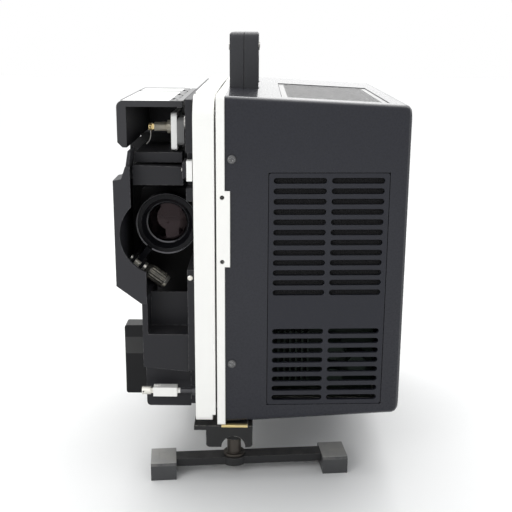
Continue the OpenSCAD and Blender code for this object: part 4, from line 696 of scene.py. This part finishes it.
# The pale colour along the edges of its flutes is a painted highlight.
KNOB_BRIGHT = Finish(
    "knob_bright", (0.14, 0.135, 0.12), 0.2, metallic=0.6, drift=0.2, wear_and_highlight=1.0,
    wear_and_highlight_colour=(0.85, 0.8, 0.66), edge=0.0012,
)
LENS_COATED = Finish(
    "lens_coated", (0.05, 0.042, 0.045), 0.02, specular=0.12, drift=0.02, edge=0.0002,
    transmission=1.0, ior=1.4, tint=(0.95, 0.74, 0.77),
)
CLEAR_GLASS = Finish(
    "clear_glass", (0.9, 0.93, 0.95), 0.03, drift=0.02, edge=0.0002, transmission=1.0,
)
REFLECTOR = Finish("reflector", (0.78, 0.78, 0.76), 0.12, metallic=1.0, drift=0.1, edge=0.0004)
# The pale band at the top of the pads and their heavy dust on what faces up are painted sheen on
# the tops.
RUBBER_GREY = Finish(
    "rubber_grey", (0.055, 0.056, 0.058), 0.42, specular=0.4, drift=0.5, drift_scale=70,
    grain=0.00012, grain_scale=700, wear_and_highlight=0.4, wear_and_highlight_colour=(0.15, 0.15, 0.15), dust_and_sheen=0.75,
    edge=0.0008, band=Band((0.0, 0.0, 1.0), 0.0147, 0.02, (0.3, 0.3, 0.29)),
)
RUBBER_BLACK = Finish(
    "rubber_black", (0.012, 0.012, 0.012), 0.6, drift=0.2, grain=0.00005, edge=0.0004,
)
BAR_GREY = Finish(
    "bar_grey", (0.015, 0.015, 0.016), 0.45, specular=0.35, drift=0.4, drift_scale=80,
    grain=0.00005, wear_and_highlight=0.75, wear_and_highlight_colour=(0.16, 0.15, 0.14), dust_and_sheen=0.1, edge=0.0006,
)
CLOTH_BLACK = Finish(
    "cloth_black", (0.006, 0.006, 0.007), 0.8, drift=0.5, drift_scale=900, weave=0.0004,
    specular=0.3, edge=0.0003,
)
BOARD_GREEN = Finish(
    "board_green", (0.006, 0.015, 0.009), 0.5, specular=0.25, drift=0.3, drift_scale=160,
    edge=0.0003,
)
WINDING = Finish("winding", (0.09, 0.05, 0.03), 0.45, drift=0.3, brushed=0.0001, edge=0.0004)
CONE_BLACK = Finish(
    "cone_black", (0.012, 0.012, 0.012), 0.75, drift=0.3, grain=0.0001, edge=0.0004,
)
TICK_WHITE = Finish("tick_white", (0.75, 0.75, 0.72), 0.5, drift=0.05, edge=0.0001)

DRESS: dict[Finish, str] = {
    COVER_BLACK: "motor_cover",
    LOUVRE_BLACK: "front_louvre",
    HANDLE_BLACK: "handle_left handle_right",
    HOOD_BLACK: "hood_shell",
    DECK_BLACK: "mechanism_deck upper_film_guide sound_cover base_tray lamp_house "
                "lamp_door shutter",
    INNER_BLACK: "lens_holder",
    EXIT_BLACK: "exit_box",
    DARK_SCREW: "case_screws",
    GUARD_GREY: "lens_guard",
    GLOSS_BLACK: "function_knob volume_knob power_inlet",
    KNOB_BRIGHT: "focus_knob",
    IVORY_PAINT: "film_side_frame cover_side_frame supply_arm",
    WHITE_PLASTIC: "take_up_arm hood_panel framing_lever",
    GREY_PLASTIC: "take_up_belt_cover blower_wheel",
    GRILLE_DARK: "top_grille",
    BRIGHT_STEEL: "focus_shaft supply_lock gate_plate pull_down_claw sound_drum motor_rotor",
    SATIN_STEEL: "handle_pins pivot_pins pressure_plate feed_sprocket hold_back_sprocket "
                 "motor base_plate",
    RIDGED_NICKEL: "take_up_spindle",
    POST_STEEL: "elevator_post",
    SEAT_WHITE: "supply_spindle",
    BRASS: "take_up_lock",
    LENS_BLACK: "lens_barrel",
    LENS_COATED: "lens_glass",
    CLEAR_GLASS: "condenser_lens",
    REFLECTOR: "lamp",
    RUBBER_GREY: "rear_feet front_foot_pads",
    RUBBER_BLACK: "drive_belt",
    BAR_GREY: "rear_foot_bar foot_bar",
    BRACKET_DARK: "foot_bracket",
    CLOTH_BLACK: "speaker_cloth",
    BOARD_GREEN: "amplifier_board",
    WINDING: "transformer",
    CONE_BLACK: "speaker",
}


def node_box(name: str) -> tuple[np.ndarray, np.ndarray]:
    """Lowest and highest corner of a node as arrays."""
    low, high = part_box(name)
    return np.array(low), np.array(high)


@dataclass
class LensDetail:
    """What shows in and on the lens: grip ribs, front lip, the glass's ring and baffle steps.

    A ring's profile is a row of steps, each out from a radius and behind the front, in mm.
    """

    ribs: int = 60
    rib_depth: float = 0.22 * MM
    rib_points: int = 8
    grip_drop: tuple[float, ...] = (-0.3, 1.0, 1.0, -0.3)
    grip_place: tuple[float, ...] = (5.9, 6.3, 14.2, 14.6)
    ring_radius: float = 26.0 * MM
    ring_reach: float = 7.3 * MM
    glass_radius: float = 17.6 * MM
    holder: Steps = ((0.6, 8.4), (0.6, 6.3), (0.3, 6.1), (-0.9, 6.8), (-0.9, 8.4))
    rim: Steps = (
        (-1.5, 0.3), (-1.5, 0.05), (-0.25, -0.75), (0.05, -0.6), (0.05, 0.5), (-0.6, 0.7),
    )
    baffle_steps: int = 9
    baffle_depth: tuple[float, float] = (17.0, 46.0)
    baffle_radius: tuple[float, float] = (13.7, 9.2)
    baffle_step: float = 0.9 * MM

    def build(self) -> None:
        """Makes and dresses the lens's pieces."""
        front = self.front()
        ribs = self.grip(front)
        LENS_BLACK.dress(surface("lens_grip_ribs", ribs, "lens", wrap_columns=True))
        rings = (
            ("lens_retaining_ring", self.glass_radius, self.holder),
            ("lens_rim", self.ring_radius, self.rim),
        )
        for name, radius, steps in rings:
            profile = np.array([(radius + out * MM, -deep * MM) for out, deep in steps])
            ring = turned(profile, front, Axis.FRONT)
            LENS_RING.dress(surface(name, ring, "lens", wrap_rows=True, wrap_columns=True))
        trap = turned(self.baffles(), front, Axis.FRONT)
        INNER_BLACK.dress(surface("lens_baffles", trap, "lens", wrap_columns=True))

    def front(self) -> np.ndarray:
        """Point on the lens axis where the front ring starts, before the glass."""
        low, high = node_box("lens_glass")
        middle = (low + high) / 2
        return np.array((middle[0], low[1] - self.ring_reach, middle[2]))

    def grip(self, front: np.ndarray) -> np.ndarray:
        """Ribbed band: a circle whose radius swells as a cosine of the angle, its ends turned in.

        Args:
            front: Point on the axis where distances start.

        Returns:
            Grid of points, columns closing on themselves.
        """
        across, over, along = Axis.FRONT.frame()
        turn = np.linspace(0, 2 * np.pi, self.ribs * self.rib_points, endpoint=False)
        swell = self.rib_depth * (0.6 + 0.4 * np.cos(self.ribs * turn))
        drop = np.array(self.grip_drop)
        place = -np.array(self.grip_place) * MM
        radius = self.ring_radius + drop[:, None] * swell[None]
        ring = np.cos(turn)[:, None] * across + np.sin(turn)[:, None] * over
        return front + radius[..., None] * ring[None] + place[:, None, None] * along

    def baffles(self) -> np.ndarray:
        """Profile of the stepped light trap behind the glass: a cone cut into rings."""
        depth = -np.repeat(np.linspace(*self.baffle_depth, self.baffle_steps), 2) * MM
        radius = np.linspace(*self.baffle_radius, self.baffle_steps) * MM
        edges = np.stack((radius, radius - self.baffle_step), axis=1)
        return np.stack((edges.ravel(), depth), axis=1)


@dataclass
class DeckFastenings:
    """Small slotted screws on the deck's front edge and on its outer face."""

    head: float = 2.3 * MM
    edge_x: float = -56.7 * MM
    edge_z: float = 176.0 * MM
    edge_turn: float = 0.4
    face_size: float = 1.2
    face_turn: float = 0.7
    face_depth: float = 3 * MM
    face_places: Steps = (
        (-95.0, 312.0), (60.0, 312.0), (138.0, 312.0),
        (138.0, 160.0), (-58.0, 190.0), (138.0, 66.0),
    )

    def build(self) -> None:
        """Makes and dresses the screws; those on the face stand at (y, z) in millimetres."""
        deck_low, _ = node_box("mechanism_deck")
        edge = np.array(((self.edge_x, deck_low[1], self.edge_z),))
        edge_heads = screw_heads(edge, self.head, Axis.FRONT, np.array((self.edge_turn,)))
        BRIGHT_STEEL.dress(surface("deck_edge_screw", edge_heads, "case"))
        places = np.array(self.face_places) * MM
        count = len(places)
        face = np.column_stack((np.full(count, deck_low[0] + self.face_depth), places))
        turns = np.arange(count) * self.face_turn
        face_heads = screw_heads(face, self.head * self.face_size, Axis.LEFT, turns)
        BRIGHT_STEEL.dress(surface("deck_face_screws", face_heads, "case"))


@dataclass
class TakeUpWire:
    """Thin sprung wire that hangs from the take-up spindle's tip."""

    radius: float = 0.4 * MM
    knots: Steps = ((1.2, 0.6), (1.3, -4.0), (0.2, -8.0), (-2.2, -11.0))

    def build(self) -> None:
        """Makes and dresses the wire: from the tip's lower left corner down, bending outwards."""
        low, high = node_box("take_up_lock")
        y = (low[1] + high[1]) / 2
        knots = np.array([(low[0] + x * MM, y, low[2] + z * MM) for x, z in self.knots])
        wire = tube(smooth_path(knots), self.radius)
        piece = surface("take_up_wire", wire, "take_up_spindle", wrap_columns=True, capped=True)
        SATIN_STEEL.dress(piece)


@dataclass
class HoodTrim:
    """Thin lip round the white panel in the hood's roof, a line across it and the hinge's cover."""

    width: float = 0.9 * MM
    lift: float = 0.5 * MM
    groove_place: float = 0.72
    groove_width: float = 0.6
    rim: float = 0.8 * MM
    seat: float = 0.8
    gap: float = 0.4 * MM
    hinge_radius: float = 2.3 * MM
    knuckles: int = 3
    knuckle: float = 12.0 * MM
    first_knuckle: float = 14.0 * MM
    lip: float = 3.4 * MM
    rear_gap: float = 1 * MM
    sheet: float = 0.1 * MM
    arc_points: int = 9

    def build(self) -> None:
        """Makes and dresses the lip, with bars on the left, behind and across, and the cover."""
        low, high = node_box("hood_panel")
        middle, size = (low + high) / 2, high - low
        groove = low[1] + self.groove_place * size[1]
        places = np.array(((low[0], middle[1]), (middle[0], high[1]), (middle[0], groove)))
        centres = np.column_stack((places, np.full(len(places), high[2])))
        across = (size[0], self.width * self.groove_width)
        sizes = np.array(((self.width, size[1]), (size[0], self.width), across))
        bars = plates(centres, sizes, Axis.UP, self.lift, np.zeros(len(places)))
        for name, points in (("hood_trim", bars), ("hinge_cover", self.hinge_cover(high))):
            GREY_PLASTIC.dress(surface(name, points, "hood", wrap_columns=True, capped=True))

    def hinge_cover(self, corner: np.ndarray) -> np.ndarray:
        """Thin cover of the hood's hinge: flat on the roof's rim, then a quarter circle down.

        It leaves out the stretches where the arm's own knuckles lie.

        Args:
            corner: Rear right upper corner of the hood's panel.

        Returns:
            Grids of points, one per stretch, columns closing on themselves.
        """
        axis_x = corner[0] + self.rim + self.gap + self.hinge_radius
        axis_z = corner[2] - self.hinge_radius
        turn = np.linspace(np.pi / 2, 0, self.arc_points)
        arc = np.stack((np.cos(turn), np.sin(turn)), axis=1)
        outer = arc * (self.hinge_radius + self.sheet)
        inner = arc * (self.hinge_radius - self.sheet / 2)
        left = -self.hinge_radius - self.gap - self.seat * self.rim
        ends = (((left, outer[0, 1]),), ((left, inner[0, 1]),))
        section = np.concatenate((ends[0], outer, inner[::-1], ends[1]))
        low, high = node_box("hood_shell")
        pitch = (high[1] - low[1] - 2 * self.first_knuckle - 2 * self.knuckle) / 2
        knuckles = low[1] + self.first_knuckle + np.arange(self.knuckles) * pitch
        starts = np.concatenate(((low[1] + self.lip,), knuckles + self.knuckle))
        stops = np.concatenate((knuckles - self.gap, (high[1] - self.rear_gap,)))
        along = np.stack((starts, stops), axis=1)[:, :, None]
        x = np.broadcast_to(axis_x + section[:, 0], (*along.shape[:2], len(section)))
        z = np.broadcast_to(axis_z + section[:, 1], x.shape)
        return np.stack((x, np.broadcast_to(along, x.shape), z), axis=-1)


@dataclass
class ControlMarks:
    """Tick marks round the control knobs and the pointers on the knobs."""

    ticks: int = 11
    sweep: float = math.radians(270)
    reach: float = 2.8 * MM
    tick_size: tuple[float, float] = (2.4 * MM, 0.7 * MM)
    lift: float = 0.12 * MM
    pointer_place: float = 0.42
    pointer_length: float = 0.5
    pointer_width: float = 1.0 * MM

    def build(self) -> None:
        """Makes and dresses the marks; a pointer's place and length are shares of the radius."""
        for knob in ("function_knob", "volume_knob"):
            low, high = node_box(knob)
            middle = (low + high) / 2
            radius = (high[1] - low[1]) / 2
            far = radius + self.reach
            turns = np.linspace(-self.sweep / 2, self.sweep / 2, self.ticks)
            face = np.full(self.ticks, node_box("mechanism_deck")[0][0])
            y, z = middle[1] + far * np.sin(turns), middle[2] + far * np.cos(turns)
            sizes = np.tile(self.tick_size, (self.ticks, 1))
            ring = plates(np.column_stack((face, y, z)), sizes, Axis.LEFT, self.lift, turns)
            top = np.array(((low[0], middle[1], middle[2] + radius * self.pointer_place),))
            size = np.array(((radius * self.pointer_length, self.pointer_width),))
            pointer = plates(top, size, Axis.LEFT, self.lift, np.zeros(1))
            for mark, points, body in (("ticks", ring, "case"), ("pointer", pointer, knob)):
                piece = surface(f"{knob}_{mark}", points, body, wrap_columns=True, capped=True)
                TICK_WHITE.dress(piece)


@dataclass
class GrilleMesh:
    """Fine wire mesh under the bars of the top grille."""

    pitch: float = 2.6 * MM
    wire: float = 0.35 * MM
    draft: float = math.radians(2.8)
    border: float = 6 * MM
    depth: float = 3.6 * MM
    cross_drop: float = 0.5 * MM

    def build(self) -> None:
        """Makes and dresses both sets of wires, lying along the cover's sloping top."""
        low, high = node_box("top_grille")
        slope = math.tan(self.draft)
        x0, y0 = low[:2] + self.border
        x1, y1 = high[:2] - self.border
        z0 = high[2] - self.depth

        def lie(x: np.ndarray, y: np.ndarray, drop: float) -> np.ndarray:
            """Points on the mesh's plane, which falls to the right by the cover's draft."""
            return np.stack((x, y, z0 - (x - x0) * slope - drop), axis=-1)

        across = np.arange(x0, x1, self.pitch)[:, None]
        along = np.arange(y0, y1, self.pitch)[:, None]
        long = lie(np.repeat(across, 2, 1), np.tile((y0, y1), (across.size, 1)), 0.0)
        cross = lie(np.tile((x0, x1), (along.size, 1)), np.repeat(along, 2, 1), self.cross_drop)
        for name, ends in (("grille_mesh_long", long), ("grille_mesh_cross", cross)):
            wires = self.wires(ends)
            GRILLE_DARK.dress(surface(name, wires, "case", wrap_columns=True, capped=True))

    def wires(self, ends: np.ndarray) -> np.ndarray:
        """Square wires between pairs of ends: each end carries four corners."""
        up = np.array((0.0, 0.0, 1.0))
        side = np.cross(ends[:, 1] - ends[:, 0], up)
        side /= np.linalg.norm(side, axis=1, keepdims=True)
        corners = np.array(((1, 0), (0, 1), (-1, 0), (0, -1))) * self.wire
        offset = corners[None, :, :1] * side[:, None] + corners[None, :, 1:] * up
        return ends[:, :, None] + offset[:, None]


@dataclass(frozen=True)
class Lamp:
    """A square lamp: where it hangs, what it faces, its side and its power."""

    name: str
    place: Point
    target: Point
    size: float
    power: float

    def hang(self) -> None:
        """Adds the lamp to the scene."""
        data = bpy.data.lights.new(self.name, "AREA")
        data.size, data.energy = self.size, self.power
        lamp = bpy.data.objects.new(self.name, data)
        aim = (Vector(self.target) - Vector(self.place)).to_track_quat("-Z", "Y")
        lamp.matrix_world = Matrix.Translation(self.place) @ aim.to_matrix().to_4x4()
        bpy.context.scene.collection.objects.link(lamp)


LAMPS = (
    Lamp("overhead", (-0.1, 0.45, 1.1), (0.02, 0.0, 0.3), 1.0, 5.0),
    Lamp("front_left", (-0.9, -1.3, 0.9), (0.0, 0.0, 0.18), 0.8, 7.0),
    Lamp("behind", (0.1, 2.2, 0.85), (0.05, 0.0, 0.32), 1.0, 2.0),
)


@dataclass
class Stage:
    """Camera, lights and floor."""

    picture: int = 512
    focal_px: float = 870.3
    eye: Point = (0.0007, -0.8133, 0.3711)
    yaw: float = math.radians(0.379)
    pitch: float = math.radians(14.673)
    roll: float = math.radians(0.343)
    sensor: float = 36.0
    clip: tuple[float, float] = (0.01, 50.0)
    floor_reach: float = 6.0
    floor_tones: tuple[Colour, Colour] = ((0.80, 0.80, 0.79), (0.84, 0.84, 0.83))
    room_colour: Colour = (0.95, 0.97, 1.0)
    room_strength: float = 0.62
    sun_tilt: Point = (-25.0, 0.0, -12.0)
    sun_strength: float = 1.9
    sun_width: float = 70.0

    def build(self) -> None:
        """Makes everything round the object."""
        self.camera()
        self.floor()
        self.room()
        self.sun()
        for lamp in LAMPS:
            lamp.hang()
        bpy.context.scene.view_settings.view_transform = "Standard"

    def camera(self) -> None:
        """Camera that looks slightly down at the lens side."""
        data = bpy.data.cameras.new("camera")
        data.sensor_width = self.sensor
        data.lens = self.focal_px / self.picture * self.sensor
        data.clip_start, data.clip_end = self.clip
        camera = bpy.data.objects.new("camera", data)
        tilt = Matrix.Rotation(math.pi / 2 - self.pitch, 4, "X")
        aim = Matrix.Rotation(self.yaw, 4, "Z") @ tilt
        roll = Matrix.Rotation(self.roll, 4, "Z")
        camera.matrix_world = Matrix.Translation(self.eye) @ aim @ roll
        bpy.context.scene.collection.objects.link(camera)
        bpy.context.scene.camera = camera

    def floor(self) -> None:
        """Pale floor that keeps the object's shadow and runs out of view."""
        line = np.linspace(-self.floor_reach, self.floor_reach, 3)
        u, v = np.meshgrid(line, line, indexing="ij")
        mesh = bpy.data.meshes.new("floor")
        corners = np.stack((u, v, np.zeros_like(u)), axis=-1).reshape(-1, 3)
        faces = grid_faces(3, 3, False, False)[:, ::-1]
        mesh.from_pydata(corners.tolist(), [], faces.tolist())
        floor = bpy.data.objects.new("floor", mesh)
        bpy.context.scene.collection.objects.link(floor)
        made = bpy.data.materials.new("floor_pale")
        made.use_nodes = True
        tree = Tree(made.node_tree)
        place = tree.add("TexCoord").outputs["Object"]
        noise = tree.add("TexNoise", Vector=place, Scale=6.0, Detail=4.0)
        colour = tree.blend(noise.outputs["Fac"], *self.floor_tones)
        shader = tree.add("BsdfPrincipled", Base_Color=colour, Roughness=0.6)
        tree.add("OutputMaterial", Surface=shader.outputs[0])
        mesh.materials.append(made)

    def room(self) -> None:
        """Surroundings: white to the camera and in reflections, dimmer as a light."""
        world = bpy.data.worlds.new("room")
        bpy.context.scene.world = world
        world.use_nodes = True
        tree = Tree(world.node_tree)
        rays = tree.add("LightPath").outputs
        through = tree.math("MAXIMUM", rays["Is Camera Ray"], rays["Is Transmission Ray"])
        seen = tree.math("MAXIMUM", through, rays["Is Glossy Ray"])
        dim = tree.add("Background", Color=self.room_colour, Strength=self.room_strength)
        white = tree.add("Background", Color=(1.0, 1.0, 1.0), Strength=1.0)
        mix = tree.add("MixShader")
        for socket, value in zip(mix.inputs, (seen, dim.outputs[0], white.outputs[0])):
            tree.set(socket, value)
        tree.add("OutputWorld", Surface=mix.outputs[0])

    def sun(self) -> None:
        """Even light from above, tilted by angles in degrees, with soft shadows."""
        data = bpy.data.lights.new("sky", "SUN")
        data.energy, data.angle = self.sun_strength, math.radians(self.sun_width)
        light = bpy.data.objects.new("sky", data)
        light.rotation_euler = tuple(math.radians(angle) for angle in self.sun_tilt)
        bpy.context.scene.collection.objects.link(light)


def dress_nodes() -> None:
    """Gives every node of the frame its finish."""
    for finish, names in DRESS.items():
        for name in names.split():
            finish.dress(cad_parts[name])
            LOG.info("%s is dressed in %s", name, finish.name)


def main() -> None:
    """Builds the stage and every sub-assembly in order."""
    logging.basicConfig(level=logging.INFO, format="%(message)s")
    Stage().build()
    dress_nodes()
    for part in (LensDetail, DeckFastenings, TakeUpWire, HoodTrim, ControlMarks, GrilleMesh):
        part().build()


if __name__ == "__main__":
    main()
